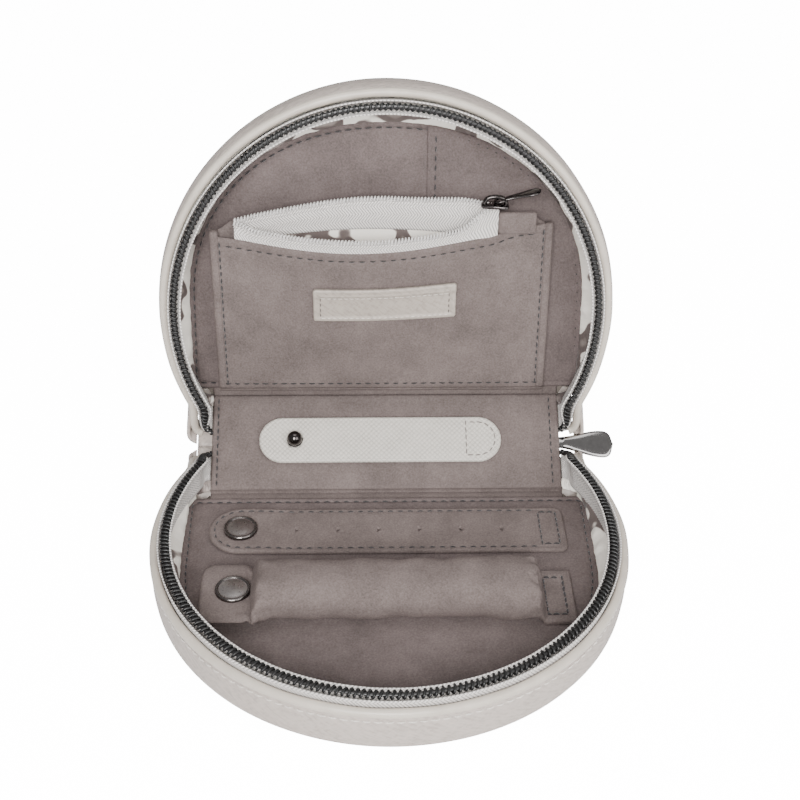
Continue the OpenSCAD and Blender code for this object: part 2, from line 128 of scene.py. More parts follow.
# Sizes read from the frame
RIM_H = box_mm("lower_zipper_coil")[1].z + 0.2
SHELL_R = -box_mm("lower_outer_wall")[0].y
FLOOR_Z = box_mm("lower_floor_panel")[1].z
WALL_END_Y = box_mm("lower_outer_wall")[1].y
WALL_TOP_Z = box_mm("lower_outer_wall")[1].z
BASE_R = -box_mm("lower_outer_base")[0].y
TRAY_UP = Vector((0, 0, 1))
SPINE_UP, POUCH_UP = up_of(spine), up_of(pouch)
SPINE_ALONG = spine(0, 1, 0) - spine(0, 0, 0)


# ---------------------------------------------------------------- small maths

def lerp(a, b, t):
    return a + (b - a) * t


def smooth(t):
    t = min(1.0, max(0.0, t))
    return t * t * (3 - 2 * t)


def ramp(x, a, b):
    """0 at a, 1 at b, smooth between."""
    return smooth((x - a) / (b - a))


def bell(x, width):
    return math.exp(-(x / width) ** 2)


def wobble(x, y, z=0.0, size=10.0, seed=0.0):
    """Smooth noise between about -1 and 1, with features of about size mm."""
    return noise.noise(Vector((x / size + seed, y / size - seed, z / size + 2 * seed)))


def edge_roll(from_edge, width=0.8):
    """How far a rounded edge has dropped: 1 at the edge, 0 from width mm inwards."""
    return 1 - math.sqrt(max(0.0, 1 - (1 - min(1, max(0.0, from_edge) / width)) ** 2))


def spaced(a, b, n):
    return [a + (b - a) * i / n for i in range(n + 1)]


def catmull(points, per=8):
    """A smooth curve through points, which may be Vectors of any length."""
    ext = [2 * points[0] - points[1], *points, 2 * points[-1] - points[-2]]
    out = []
    for i in range(1, len(ext) - 2):
        p0, p1, p2, p3 = ext[i - 1:i + 3]
        for k in range(per):
            t = k / per
            out.append(0.5 * ((2 * p1) + (p2 - p0) * t + (2 * p0 - 5 * p1 + 4 * p2 - p3) * t * t
                              + (3 * p1 - p0 - 3 * p2 + p3) * t ** 3))
    out.append(ext[-2].copy())
    return out


def lengths(points):
    run = [0.0]
    for a, b in zip(points, points[1:]):
        run.append(run[-1] + (b - a).length)
    return run


def curve_of(points, per):
    """A smooth curve through (a, b) or (a, b, c) points."""
    return catmull([Vector(p).to_3d() for p in points], per)


def at_length(points, run, d):
    """The point at distance d along a polyline, and its direction there."""
    i = int(np.searchsorted(run, d)) - 1
    i = max(0, min(len(points) - 2, i))
    step = run[i + 1] - run[i]
    t = 0.0 if step < 1e-12 else (d - run[i]) / step
    return points[i].lerp(points[i + 1], t), (points[i + 1] - points[i]).normalized()


# ---------------------------------------------------------------- mesh helpers

def shade_smooth(mesh):
    mesh.polygons.foreach_set("use_smooth", [True] * len(mesh.polygons))


def new_piece(name, verts, faces, material, face_uvs=None):
    """A mesh object. face_uvs holds one list of (u, v) in mm for each face."""
    mesh = bpy.data.meshes.new(name)
    mesh.from_pydata([tuple(v) for v in verts], [], faces)
    if face_uvs:
        layer = mesh.uv_layers.new(name="UV")
        flat_uvs = [c for uvs in face_uvs for uv in uvs for c in uv]
        layer.data.foreach_set("uv", flat_uvs)
    shade_smooth(mesh)
    mesh.materials.append(material)
    mesh.update()
    obj = bpy.data.objects.new(name, mesh)
    bpy.context.scene.collection.objects.link(obj)
    return obj


def grid(name, us, vs, point, material, uv=None, wrap_u=False):
    """A sheet of point(u, v) over two lists of parameters. uv(u, v) gives texture mm."""
    nu, nv = len(us), len(vs)
    verts = [point(u, v) for v in vs for u in us]
    faces, face_uvs = [], []
    for j in range(nv - 1):
        for i in range(nu if wrap_u else nu - 1):
            i2, j2 = (i + 1) % nu, j + 1
            faces.append([j * nu + i, j * nu + i2, j2 * nu + i2, j2 * nu + i])
            if uv:
                u1 = us[i2] if i2 else 2 * us[-1] - us[-2]
                face_uvs.append([uv(us[i], vs[j]), uv(u1, vs[j]), uv(u1, vs[j2]), uv(us[i], vs[j2])])
    return new_piece(name, verts, faces, material, face_uvs)


def sweep(name, us, curve, point, material, u_mm):
    """A sheet of point(u, p) over us and the points p of a curve. Its texture runs along both."""
    marks = lengths(curve)
    return grid(name, us, list(range(len(curve))), lambda u, i: point(u, curve[i]), material,
                uv=lambda u, i: (u_mm(u), marks[i]))


def mend(obj, fill=False, weld=False, outward=True):
    """Closes a mesh's open ends, welds its doubled points and turns its faces outwards."""
    bm = bmesh.new()
    bm.from_mesh(obj.data)
    if fill:
        bmesh.ops.holes_fill(bm, edges=bm.edges)
    if weld:
        bmesh.ops.remove_doubles(bm, verts=bm.verts, dist=0.01 * MM)
    if outward:
        bmesh.ops.recalc_face_normals(bm, faces=bm.faces)
    bm.to_mesh(obj.data)
    bm.free()
    return obj


def bake(obj):
    """Applies obj's modifiers."""
    graph = bpy.context.evaluated_depsgraph_get()
    mesh = bpy.data.meshes.new_from_object(obj.evaluated_get(graph), preserve_all_data_layers=True,
                                           depsgraph=graph)
    old = obj.data
    obj.modifiers.clear()
    obj.data = mesh
    bpy.data.meshes.remove(old)
    return obj


def thicken(obj, thickness, offset=-1.0):
    """Gives a sheet its thickness in mm."""
    solid = obj.modifiers.new("Thickness", "SOLIDIFY")
    solid.thickness = thickness * MM
    solid.offset = offset
    solid.use_even_offset = False
    return bake(obj)


def subdivide(obj):
    modifier = obj.modifiers.new("Smooth", "SUBSURF")
    modifier.levels = 1
    modifier.render_levels = 1
    return bake(obj)


def join(name, objs):
    """Joins pieces into one mesh, keeping their materials."""
    bpy.ops.object.select_all(action="DESELECT")
    for o in objs:
        o.select_set(True)
    bpy.context.view_layer.objects.active = objs[0]
    if len(objs) > 1:
        bpy.ops.object.join()
    objs[0].name = name
    objs[0].data.name = name
    return objs[0]


def fit(piece, slot, body, *nodes):
    """Names the CAD nodes that a piece stands for and the body it rides. slot is not used."""
    if nodes:
        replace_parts(piece, *nodes)
    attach(piece, body)


def tube(name, points, radius, material, sides=8, closed=False, flatten=1.0, up=None):
    """A round or flattened tube along points in metres. radius in mm may be a function of 0..1."""
    count = len(points)
    run = lengths(points)
    total = run[-1] or 1.0
    verts, faces, face_uvs = [], [], []
    side = None
    for i, p in enumerate(points):
        a = points[i - 1] if (i > 0 or closed) else p
        b = points[(i + 1) % count] if (i < count - 1 or closed) else p
        along = (b - a).normalized()
        if up is not None:
            side = along.cross(up[i] if isinstance(up, list) else up).normalized()
        elif side is None:
            guess = Vector((0, 0, 1)) if abs(along.z) < 0.9 else Vector((1, 0, 0))
            side = along.cross(guess).normalized()
        else:
            side = (side - along * side.dot(along)).normalized()
        lift = side.cross(along)
        r = (radius(run[i] / total) if callable(radius) else radius) * MM
        for k in range(sides):
            a = TAU * k / sides
            verts.append(p + side * (r * math.cos(a)) + lift * (r * flatten * math.sin(a)))
    rings = count if closed else count - 1
    for i in range(rings):
        j = (i + 1) % count
        for k in range(sides):
            k2 = (k + 1) % sides
            faces.append([i * sides + k, i * sides + k2, j * sides + k2, j * sides + k])
            u0, u1 = run[i] / MM, (run[j] if j else total) / MM
            face_uvs.append([(u0, k), (u0, k + 1), (u1, k + 1), (u1, k)])
    if not closed:
        faces.append(list(range(sides))[::-1])
        faces.append([(count - 1) * sides + k for k in range(sides)])
        face_uvs += [[(0, k) for k in range(sides)], [(total / MM, k) for k in range(sides)]]
    return new_piece(name, verts, faces, material, face_uvs)


def stitches(name, points, normals, material, pitch=3.3, length=2.3, radius=0.28, sink=0.06):
    """A row of thread stitches along points, lying on a surface with those normals."""
    rng = random.Random(name)
    run = lengths(points)
    count = max(1, int(round((run[-1] / MM) / pitch)))
    step = run[-1] / count
    rings, sides = (0.0, 0.45, 1.0, 0.45, 0.0), 6
    spots = (-0.5, -0.42, 0.0, 0.42, 0.5)
    verts, faces = [], []
    for i in range(count):
        centre, along = at_length(points, run, (i + 0.5) * step)
        _, nearest = min((abs(run[k] - (i + 0.5) * step), k) for k in range(len(run)))
        normal = normals[nearest] if isinstance(normals, list) else normals
        side = along.cross(normal).normalized()
        lift = side.cross(along).normalized()
        turn = rng.uniform(-0.09, 0.09)
        along2 = along * math.cos(turn) + side * math.sin(turn)
        side2 = side * math.cos(turn) - along * math.sin(turn)
        l = length * rng.uniform(0.9, 1.06) * MM
        base = len(verts)
        for spot, width in zip(spots, rings):
            # the thread arches over the cloth and dives into it at both ends
            rise = (1 - (2 * spot) ** 2) * radius * 0.9 - sink - radius * 0.5
            mid = centre + along2 * (spot * l) + lift * (rise * MM)
            r = radius * (0.35 + 0.65 * width) * MM
            for k in range(sides):
                a = TAU * k / sides
                verts.append(mid + side2 * (r * math.cos(a)) + lift * (r * math.sin(a)))
        for j in range(len(spots) - 1):
            for k in range(sides):
                k2 = (k + 1) % sides
                faces.append([base + j * sides + k, base + j * sides + k2,
                              base + (j + 1) * sides + k2, base + (j + 1) * sides + k])
        faces.append([base + k for k in range(sides)][::-1])
        faces.append([base + (len(spots) - 1) * sides + k for k in range(sides)])
    return new_piece(name, verts, faces, material)


def coil(name, points, ups, material, pitch, width, height, strand, sides=6, per_turn=12):
    """A zipper coil: a flattened helix that runs along points, lying across ups."""
    run = lengths(points)
    turns = int(run[-1] / MM / pitch)
    step = run[-1] / turns
    path = []
    for i in range(turns * per_turn + 1):
        turn = i / per_turn
        p, along = at_length(points, run, min(turn * step, run[-1] * 0.99999))
        nearest = min(len(ups) - 1, int(np.searchsorted(run, turn * step)))
        up = ups[nearest]
        side = along.cross(up).normalized()
        lift = side.cross(along)
        a = TAU * turn
        c, s = math.cos(a), math.sin(a)
        # flatter than a round turn, like moulded nylon
        x = math.copysign(abs(c) ** 0.7, c) * width / 2
        z = math.copysign(abs(s) ** 0.7, s) * height / 2
        path.append(p + side * (x * MM) + lift * (z * MM))
    return tube(name, path, strand, material, sides=sides)


def lathe(name, profile, centre, axis, material, steps=64):
    """Turns a profile of (radius, height) in mm about axis through centre."""
    axis = axis.normalized()
    x = axis.orthogonal().normalized()
    y = axis.cross(x)

    def point(a, i):
        r, h = profile[i]
        return centre + (x * math.cos(a) + y * math.sin(a)) * (r * MM) + axis * (h * MM)
    us = [TAU * k / steps for k in range(steps)]
    return grid(name, us, list(range(len(profile))), point, material,
                uv=lambda a, i: (a * 6, profile[i][0]), wrap_u=True)


# ---------------------------------------------------------------- materials

def srgb(r, g, b):
    """A colour given as 0..255 screen values, as Blender's linear RGBA."""
    def channel(c):
        c /= 255
        return c / 12.92 if c <= 0.04045 else ((c + 0.055) / 1.055) ** 2.4
    return (channel(r), channel(g), channel(b), 1.0)


class Maker:
    """Builds one procedural material around its Principled shader."""

    def __init__(self, name, **sockets):
        self.material = bpy.data.materials.new(name)
        self.material.use_nodes = True
        self.tree = self.material.node_tree
        self.shader = self.tree.nodes["Principled BSDF"]
        for key, value in sockets.items():
            self.shader.inputs[key.replace("_", " ")].default_value = value

    def node(self, kind, inputs=None, **props):
        made = self.tree.nodes.new("ShaderNode" + kind)
        for key, value in props.items():
            setattr(made, key, value)
        for key, value in (inputs or {}).items():
            socket = made.inputs[key]
            if isinstance(value, bpy.types.NodeSocket):
                self.tree.links.new(value, socket)
            else:
                socket.default_value = value
        return made

    def link(self, output, name):
        self.tree.links.new(output, self.shader.inputs[name])

    def place(self):
        """Position in the object's own frame, in metres."""
        return self.node("TexCoord").outputs["Object"]

    def uv(self):
        return self.node("UVMap", uv_map="UV").outputs["UV"]

    def noise(self, where, size, detail=3.0, rough=0.55, scale_of=1.0, distortion=0.0):
        """Noise with features of size mm. scale_of is 1 for metres, 0.001 for UVs in mm."""
        made = self.node("TexNoise", {"Vector": where, "Scale": scale_of / (size * MM),
                                      "Detail": detail, "Roughness": rough,
                                      "Distortion": distortion})
        return made.outputs["Fac"]

    def maths(self, operation, a, b=0.0, c=0.0):
        return self.node("Math", {0: a, 1: b, 2: c}, operation=operation).outputs[0]

    def colours(self, factor, *stops):
        """A colour ramp. Each stop is (position, colour)."""
        made = self.node("ValToRGB", {"Fac": factor})
        elements = made.color_ramp.elements
        while len(elements) < len(stops):
            elements.new(0.5)
        for element, (position, colour) in zip(elements, stops):
            element.position = position
            element.color = colour
        return made.outputs["Color"]

    def bump(self, height, distance, strength=1.0, under=None):
        inputs = {"Height": height, "Distance": distance * MM, "Strength": strength}
        if under is not None:
            inputs["Normal"] = under
        return self.node("Bump", inputs).outputs["Normal"]

    def mottle(self, tone, colour, dark, light):
        """Base colour between two shades of a colour, following tone."""
        self.link(self.colours(tone, (0.3, shade(colour, dark)), (0.7, shade(colour, light))), "Base Color")


def shade(colour, factor):
    return tuple(min(1.0, c * factor) for c in colour[:3]) + (1.0,)


def suede_material(name, colour):
    m = Maker(name, Roughness=0.95, Sheen_Weight=0.12, Sheen_Roughness=0.5)
    m.shader.inputs["Specular IOR Level"].default_value = 0.12
    m.shader.inputs["Sheen Tint"].default_value = shade(colour, 2.0)
    where = m.place()
    patches = m.noise(where, 14, 4, 0.62)
    nap = m.noise(where, 0.62, 3, 0.75)
    mixed = m.maths("ADD", m.maths("MULTIPLY", patches, 0.42), m.maths("MULTIPLY", nap, 0.58))
    m.link(m.colours(mixed, (0.33, shade(colour, 0.66)), (0.5, colour), (0.67, shade(colour, 1.38))),
           "Base Color")
    fibres = m.noise(where, 0.3, 2, 0.8)
    soft = m.bump(m.noise(where, 5, 3), 0.35, 0.35)
    m.link(m.bump(fibres, 0.16, 0.9, under=soft), "Normal")
    return m.material


def lining_material(name):
    m = Maker(name, Roughness=0.42, Sheen_Weight=0.15)
    where = m.place()
    white, warm = srgb(238, 232, 222), srgb(222, 213, 202)
    blot, blot_light = srgb(92, 82, 79), srgb(150, 139, 133)
    warp = m.noise(where, 7, 2, 0.5)
    big = m.noise(where, 12, 1.0, 0.3, distortion=0.3)
    edge = m.maths("ADD", big, m.maths("MULTIPLY", m.maths("SUBTRACT", warp, 0.5), 0.10))
    m.link(m.colours(edge, (0.0, warm), (0.38, white), (0.482, white), (0.495, blot_light),
                     (0.505, blot), (0.59, blot), (0.66, blot_light)), "Base Color")
    weave = m.noise(where, 0.22, 1, 0.5)
    m.link(m.bump(weave, 0.05, 0.5, under=m.bump(m.noise(where, 4, 2), 0.5, 0.35)), "Normal")
    return m.material


def tape_material(name, colour, rib=1.2, band=2.2):
    """Herringbone webbing: ribs that turn back every band mm. Its UVs are in mm."""
    m = Maker(name, Roughness=0.8, Sheen_Weight=0.2)
    parts = m.node("SeparateXYZ", {"Vector": m.uv()})
    u, v = parts.outputs["X"], parts.outputs["Y"]
    zigzag = m.maths("PINGPONG", v, band)
    slope = m.maths("ADD", u, zigzag)
    wave = m.maths("SINE", m.maths("MULTIPLY", slope, TAU / rib))
    height = m.maths("MULTIPLY_ADD", wave, 0.5, 0.5)
    # Colour follows the ribs' height, darkest in their troughs: painted shade of the weave.
    m.link(m.colours(height, (0.0, shade(colour, 0.42)), (0.5, shade(colour, 0.9)),
                     (1.0, shade(colour, 1.0))), "Base Color")
    thread = m.noise(m.place(), 0.3, 2, 0.6)
    m.link(m.bump(height, 0.22, 1.0, under=m.bump(thread, 0.05, 0.5)), "Normal")
    return m.material


def diamond_leather_material(name, colour, pitch=1.45):
    m = Maker(name, Roughness=0.5, Coat_Weight=0.12, Coat_Roughness=0.35)
    parts = m.node("SeparateXYZ", {"Vector": m.uv()})
    u, v = parts.outputs["X"], parts.outputs["Y"]
    k = math.pi / pitch
    one = m.maths("SINE", m.maths("MULTIPLY", m.maths("ADD", u, v), k))
    two = m.maths("SINE", m.maths("MULTIPLY", m.maths("SUBTRACT", u, v), k))
    cross = m.maths("MULTIPLY", m.maths("ABSOLUTE", one), m.maths("ABSOLUTE", two))
    height = m.maths("POWER", cross, 0.5)
    # Half the tone is the emboss's height, so its grooves are painted darker: painted shade. The other half
    # is random mottle.
    tone = m.maths("ADD", m.maths("MULTIPLY", height, 0.5),
                   m.maths("MULTIPLY", m.noise(m.place(), 7, 3), 0.5))
    m.link(m.colours(tone, (0.2, shade(colour, 0.70)), (0.55, colour), (0.9, shade(colour, 1.06))),
           "Base Color")
    m.link(m.bump(height, 0.2, 0.9, under=m.bump(m.noise(m.place(), 0.5, 2), 0.05, 0.4)),
           "Normal")
    return m.material


def grain_leather_material(name, colour, streak=0.55, depth=0.16, rough=0.5):
    """Cross-hatched saffiano grain: short diagonal ridges. Its UVs are in mm."""
    m = Maker(name, Roughness=rough, Coat_Weight=0.15, Coat_Roughness=0.4)
    uv = m.uv()

    def hatch(degrees, along, across):
        turned = m.node("Mapping", {"Vector": uv, "Rotation": (0, 0, math.radians(degrees))})
        return m.node("Mapping", {"Vector": turned.outputs["Vector"],
                                  "Scale": (along, across, 1.0)}).outputs["Vector"]
    turned, crossed = hatch(38, 0.36, 1.25), hatch(-52, 0.6, 1.6)
    a = m.noise(turned, streak * 1.4, 2, 0.5, scale_of=MM)
    b = m.noise(crossed, streak * 1.6, 2, 0.5, scale_of=MM)
    height = m.maths("ADD", m.maths("MULTIPLY", a, 0.65), m.maths("MULTIPLY", b, 0.35))
    # The tone mostly follows the grain's height, darker in its valleys: painted shade. The rest is random
    # mottle.
    tone = m.maths("ADD", m.maths("MULTIPLY", height, 0.85),
                   m.maths("MULTIPLY", m.noise(m.place(), 9, 3), 0.15))
    m.link(m.colours(tone, (0.38, shade(colour, 0.8)), (0.50, colour),
                     (0.62, shade(colour, 1.08))), "Base Color")
    gloss = m.colours(height, (0.3, (0.62, 0.62, 0.62, 1)), (0.7, (0.36, 0.36, 0.36, 1)))
    m.link(gloss, "Roughness")
    m.link(m.bump(height, depth, 0.9, under=m.bump(m.noise(m.place(), 0.35, 2), 0.05, 0.5)),
           "Normal")
    return m.material


def smooth_leather_material(name, colour, rough=0.4):
    m = Maker(name, Roughness=rough, Coat_Weight=0.2, Coat_Roughness=0.3)
    where = m.place()
    tone = m.noise(where, 8, 4, 0.6)
    m.mottle(tone, colour, 0.90, 1.06)
    pores = m.node("TexVoronoi", {"Vector": where, "Scale": 1 / (0.7 * MM)})
    m.link(m.bump(pores.outputs["Distance"], 0.05, 0.45, under=m.bump(tone, 0.15, 0.3)), "Normal")
    return m.material


def metal_material(name, colour, rough=0.25, streak=0.0):
    m = Maker(name, Metallic=1.0, Roughness=rough)
    where = m.place()
    marks = m.noise(where, 2.2, 4, 0.6)
    m.mottle(marks, colour, 0.92, 1.08)
    spread = 0.05
    low, high = rough - spread * 0.6, rough + spread
    m.link(m.colours(m.noise(where, 0.8, 3), (0.35, (low, low, low, 1)),
                     (0.7, (high, high, high, 1))), "Roughness")
    fine = m.noise(where, 1.4, 2)
    if streak:
        stretched = m.node("Mapping", {"Vector": where, "Scale": (1.0, 14.0, 14.0)})
        fine = m.noise(stretched.outputs["Vector"], 1.6, 2)
    m.link(m.bump(fine, 0.004 + streak, 0.4), "Normal")
    return m.material


def coil_material(name, colour):
    m = Maker(name, Roughness=0.42, Coat_Weight=0.06, Coat_Roughness=0.3)
    tone = m.noise(m.place(), 1.5, 2)
    m.mottle(tone, colour, 0.7, 1.5)
    m.link(m.bump(m.noise(m.place(), 0.25, 2), 0.02, 0.5), "Normal")
    return m.material


def nylon_material(name, colour):
    m = Maker(name, Roughness=0.38, Coat_Weight=0.25, Coat_Roughness=0.25)
    tone = m.noise(m.place(), 3, 2)
    m.mottle(tone, colour, 0.85, 1.08)
    m.link(m.bump(m.noise(m.place(), 0.3, 2), 0.03, 0.5), "Normal")
    return m.material


def thread_material(name, colour):
    m = Maker(name, Roughness=0.7, Sheen_Weight=0.3)
    tone = m.noise(m.place(), 0.3, 2)
    m.mottle(tone, colour, 0.7, 1.3)
    m.link(m.bump(tone, 0.05, 0.8), "Normal")
    return m.material


def board_material():
    m = Maker("fibre_board_painted_shade", Roughness=0.85)
    fibre = m.node("Mapping", {"Vector": m.place(), "Scale": (1.0, 5.0, 5.0)}).outputs["Vector"]
    tone = m.noise(fibre, 3, 4, 0.7)
    # Dark grey-brown so that the board's edges, where they show between wall and suede, read as shadow:
    # painted shade.
    m.link(m.colours(tone, (0.3, srgb(88, 80, 74)), (0.7, srgb(120, 111, 103))), "Base Color")
    m.link(m.bump(tone, 0.08, 0.6), "Normal")
    return m.material


def foam_material():
    m = Maker("cell_foam", Roughness=0.9)
    cells = m.node("TexVoronoi", {"Vector": m.place(), "Scale": 1 / (0.9 * MM)})
    # Darker at the bottom of each cell's pit: painted shade.
    m.link(m.colours(cells.outputs["Distance"], (0.0, srgb(190, 186, 172)),
                     (0.6, srgb(228, 225, 214))), "Base Color")
    m.link(m.bump(cells.outputs["Distance"], 0.2, 0.7), "Normal")
    return m.material


SUEDE = suede_material("suede", srgb(102, 92, 89))
# A darker copy of the same suede for the panels inside the case: painted shade of the case's walls.
SUEDE_SHADED = suede_material("suede_floor_painted_shade", srgb(97, 87, 85))
LINING = lining_material("print_lining")
TAPE = tape_material("zipper_tape", srgb(224, 218, 213))
POUCH_TAPE = tape_material("pouch_tape", srgb(226, 220, 215), rib=1.15, band=2.3)
LEATHER = grain_leather_material("outer_leather", srgb(172, 161, 153), streak=1.0, depth=0.42)
PIPING = smooth_leather_material("piping_leather", srgb(188, 179, 167))
STRAP_LEATHER = diamond_leather_material("strap_leather", srgb(196, 190, 181), pitch=1.75)
LABEL_LEATHER = grain_leather_material("label_leather", srgb(164, 154, 144), streak=0.8, depth=0.2)
COIL = coil_material("coil_nylon", srgb(15, 14, 14))
COIL_CORD = nylon_material("coil_cord", srgb(26, 24, 24))
TEETH = nylon_material("pouch_teeth", srgb(205, 201, 198))
GUNMETAL = metal_material("gunmetal", srgb(104, 99, 97), 0.24)
DARK_METAL = metal_material("dark_metal", srgb(74, 70, 69), 0.16)
BRUSHED = metal_material("brushed_metal", srgb(158, 152, 150), 0.3, streak=0.01)
BRIGHT = metal_material("bright_metal", srgb(176, 173, 172), 0.2)
POLISHED = metal_material("polished_gunmetal", srgb(150, 147, 146), 0.1)
# Near-black thread for rows sunk into suede: painted shade of the sunk stitches and their needle holes.
THREAD_PAINTED_SHADE = thread_material("thread_on_suede_painted_shade", srgb(30, 25, 25))
# The box rows on the suede straps are near-black too: painted shade of their sunk thread and needle holes.
BOX_THREAD_PAINTED_SHADE = thread_material("thread_in_boxes_painted_shade", srgb(34, 28, 28))
THREAD_LIGHT = thread_material("thread_on_leather", srgb(206, 200, 193))
THREAD_GREY = thread_material("thread_on_strap", srgb(112, 104, 99))
BOARD = board_material()
FOAM = foam_material()


def dress(node, material):
    """Gives a CAD node that stays a finished material."""
    obj = frame["nodes"][node]
    obj.data.materials.clear()
    obj.data.materials.append(material)


# ---------------------------------------------------------------- the two round halves

COIL_R = 70.6
COIL_Z = RIM_H - 1.05
COIL_PITCH = 1.71  # measured in the photo, on the right of the lower rim
LINING_R = 72.0
ENDS = 14          # stations in each corner past the wall's end
ARC = 150          # stations round the wall
SUEDE_EDGE_X = 60.7
SUEDE_TOP_N = 3.9


def wall_angle(r):
    """Half of the arc that a wall of radius r covers, measured from the front."""
    return math.pi / 2 + math.asin(min(1.0, WALL_END_Y / r))


def panel_outline(a, grow=0.0):
    """Outline of the suede panel at angle a from the front: round in front, straight at the sides."""
    half_x, half_y, power = 65.4 + grow, 60.6 + grow, 2.15
    x, y = math.sin(a), -math.cos(a)
    if y <= 0:
        r = (abs(x / half_x) ** power + abs(y / half_y) ** power) ** (-1 / power)
        return r * x, r * y
    reach = WALL_END_Y - 0.4
    side = half_x + 0.6 * min(1.0, y * half_x / max(abs(x), 1e-6) / reach)
    return math.copysign(side, x), side * y / abs(x)


class Half:
    """One half of the case: the tray, or the lid drawn as a tray."""

    def __init__(self, name, body, place, spine_place, seed):
        self.name, self.body, self.place, self.seed = name, body, place, seed
        self.spine_place = spine_place
        self.up = up_of(place)
        # sheets wound the same way face up in the tray and down in the lid, which is mirrored
        self.under = -1.0 if name == "lower" else 1.0

    def blend(self, piece, part):
        """A piece that crosses this half's fold: it takes the place of the half's CAD part and is baked
        where it lies.
        """
        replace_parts(piece, f"{self.name}_{part}")
        start, end = self.place(0, WALL_END_Y, 6), self.spine_place(0, 7.5, 3)
        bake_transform(piece)
        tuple(start)
        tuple(end)

    def station(self, s, r, z, spine_l, spine_x=SUEDE_EDGE_X, spine_n=2.6):
        """A point on the wall at -1 - e .. -1 in the left corner, -1..1 round the arc, and
        1..1 + e in the right corner, where the wall runs on to the edge of the spine."""
        arc = wall_angle(r)
        y_end = WALL_END_Y
        if abs(s) <= 1:
            a = s * arc
            return self.place(r * math.sin(a), -r * math.cos(a), z)
        t = abs(s) - 1
        side = math.copysign(1.0, s)
        x0 = math.sqrt(r * r - y_end * y_end)
        start = self.place(side * x0, y_end, z)
        leave = (self.place(side * (x0 - y_end / r), y_end + x0 / r, z) - start) / MM
        end = self.spine_place(side * spine_x, spine_l, spine_n)
        arrive = (self.spine_place(side * (spine_x - 1), spine_l + 0.25, spine_n - 0.1) - end) / MM
        reach = (end - start).length * 0.95
        t2, t3 = t * t, t ** 3
        return (start * (2 * t3 - 3 * t2 + 1) + leave * reach * (t3 - 2 * t2 + t)
                + end * (3 * t2 - 2 * t3) + arrive * reach * (t3 - t2))

    def stations(self):
        left = [-1 - i / ENDS for i in range(ENDS, 0, -1)]
        right = [1 + i / ENDS for i in range(1, ENDS + 1)]
        return left + spaced(-1, 1, ARC) + right

    def run_mm(self, s):
        """Length along the rim at station s, for texture."""
        arc = wall_angle(COIL_R) * COIL_R
        return max(-1.0, min(1.0, s)) * arc + (0 if abs(s) <= 1 else math.copysign(abs(s) - 1, s) * 16)

    # each part of the wall, from the outside in

    def outer_wall(self):
        profile = [(BASE_R - 1.5, 0.02, 0.0), (BASE_R, 0.0, 0.1), (BASE_R + 1.5, 0.25, 0.3),
                   (SHELL_R - 1.25, 1.15, 1.2), (SHELL_R - 0.35, 2.5, 2.5),
                   (SHELL_R - 0.02, 4.2, 4.2), (SHELL_R + 0.22, 7.0, 6.8),
                   (SHELL_R + 0.22, 9.6, 9.4), (SHELL_R + 0.0, 11.8, 11.5),
                   (SHELL_R - 0.28, 12.75, 12.4), (SHELL_R - 0.4, 13.2, 12.8),
                   (SHELL_R - 0.7, 14.2, 13.6)]

        def point(s, p):
            r, z, l = p
            l *= 1.22
            swell = 0.22 * wobble(s * 200, z, 0, 26, self.seed) * bell(z - 8, 5)
            return self.station(s, r + swell, z, l, spine_x=66.2, spine_n=-1.3)
        piece = sweep(self.name + "_wall_leather", self.stations(), curve_of(profile, 2), point,
                      LEATHER, lambda s: self.run_mm(s) * 1.06)
        thicken(piece, 1.2, -1.0)
        self.blend(piece, "outer_wall")

    def wall_stitches(self):
        ss = [s for s in self.stations() if abs(s) <= 1]
        points = [self.station(s, SHELL_R - 0.18, WALL_TOP_Z - 1.55, 0) for s in ss]
        normals = [(self.place(math.sin(a), -math.cos(a), 0) - self.place(0, 0, 0)).normalized()
                   for a in [s * wall_angle(SHELL_R) for s in ss]]
        piece = stitches(self.name + "_wall_stitches", points, normals, THREAD_LIGHT,
                         pitch=3.2, length=2.5, radius=0.26, sink=-0.06)
        fit(piece, "smooth_leather", self.body)

    def piping(self):
        ss = self.stations()
        z = WALL_TOP_Z + 1.35
        path = [self.station(s, SHELL_R - 0.85, z, 13.2, spine_x=64.2, spine_n=0.0) for s in ss]
        piece = tube(self.name + "_piping_roll", path, lambda t: 1.45 + 0.05 * math.sin(t * 90),
                     PIPING, sides=14)
        self.blend(piece, "piping")

    def base(self):
        """The flat leather under the half, out to where its edge starts to turn up."""
        rings = [0.15, 0.35, 0.55, 0.75, 0.9, 0.97, 1.0]
        back = CHORD_Y - 0.6

        def point(a, k):
            r = BASE_R - 1.2
            x, y = r * math.sin(a), -r * math.cos(a)
            if y > back:
                x, y = x * back / y, back
            sink = 0.14 * wobble(k * x, k * y, 0, 22, self.seed)
            return self.place(x * k, y * k, 0.16 + abs(sink) * (1 - k))
        angles = [TAU * i / 160 for i in range(160)]

        def uv(a, k):
            return ((BASE_R * math.sin(a)) * k, -(BASE_R * math.cos(a)) * k)
        piece = grid(self.name + "_base_leather", angles, rings, point, LEATHER, uv=uv, wrap_u=True)
        close_centre(piece, len(angles), self.place(0, 0, 0.16))
        thicken(piece, 1.1, self.under)
        fit(piece, "outer_leather", self.body, self.name + "_outer_base")

    def tape(self):
        """Webbing up the inside of the wall, turning in under the coil to a thin lip."""
        profile = [(71.5, 7.4, 3.6), (71.45, 10, 6.4), (71.2, 13, 9.4), (70.6, 15.6, 11.6),
                   (69.6, 17.6, 13.2), (68.95, 18.6, 14.0), (68.7, RIM_H - 0.35, 14.7)]

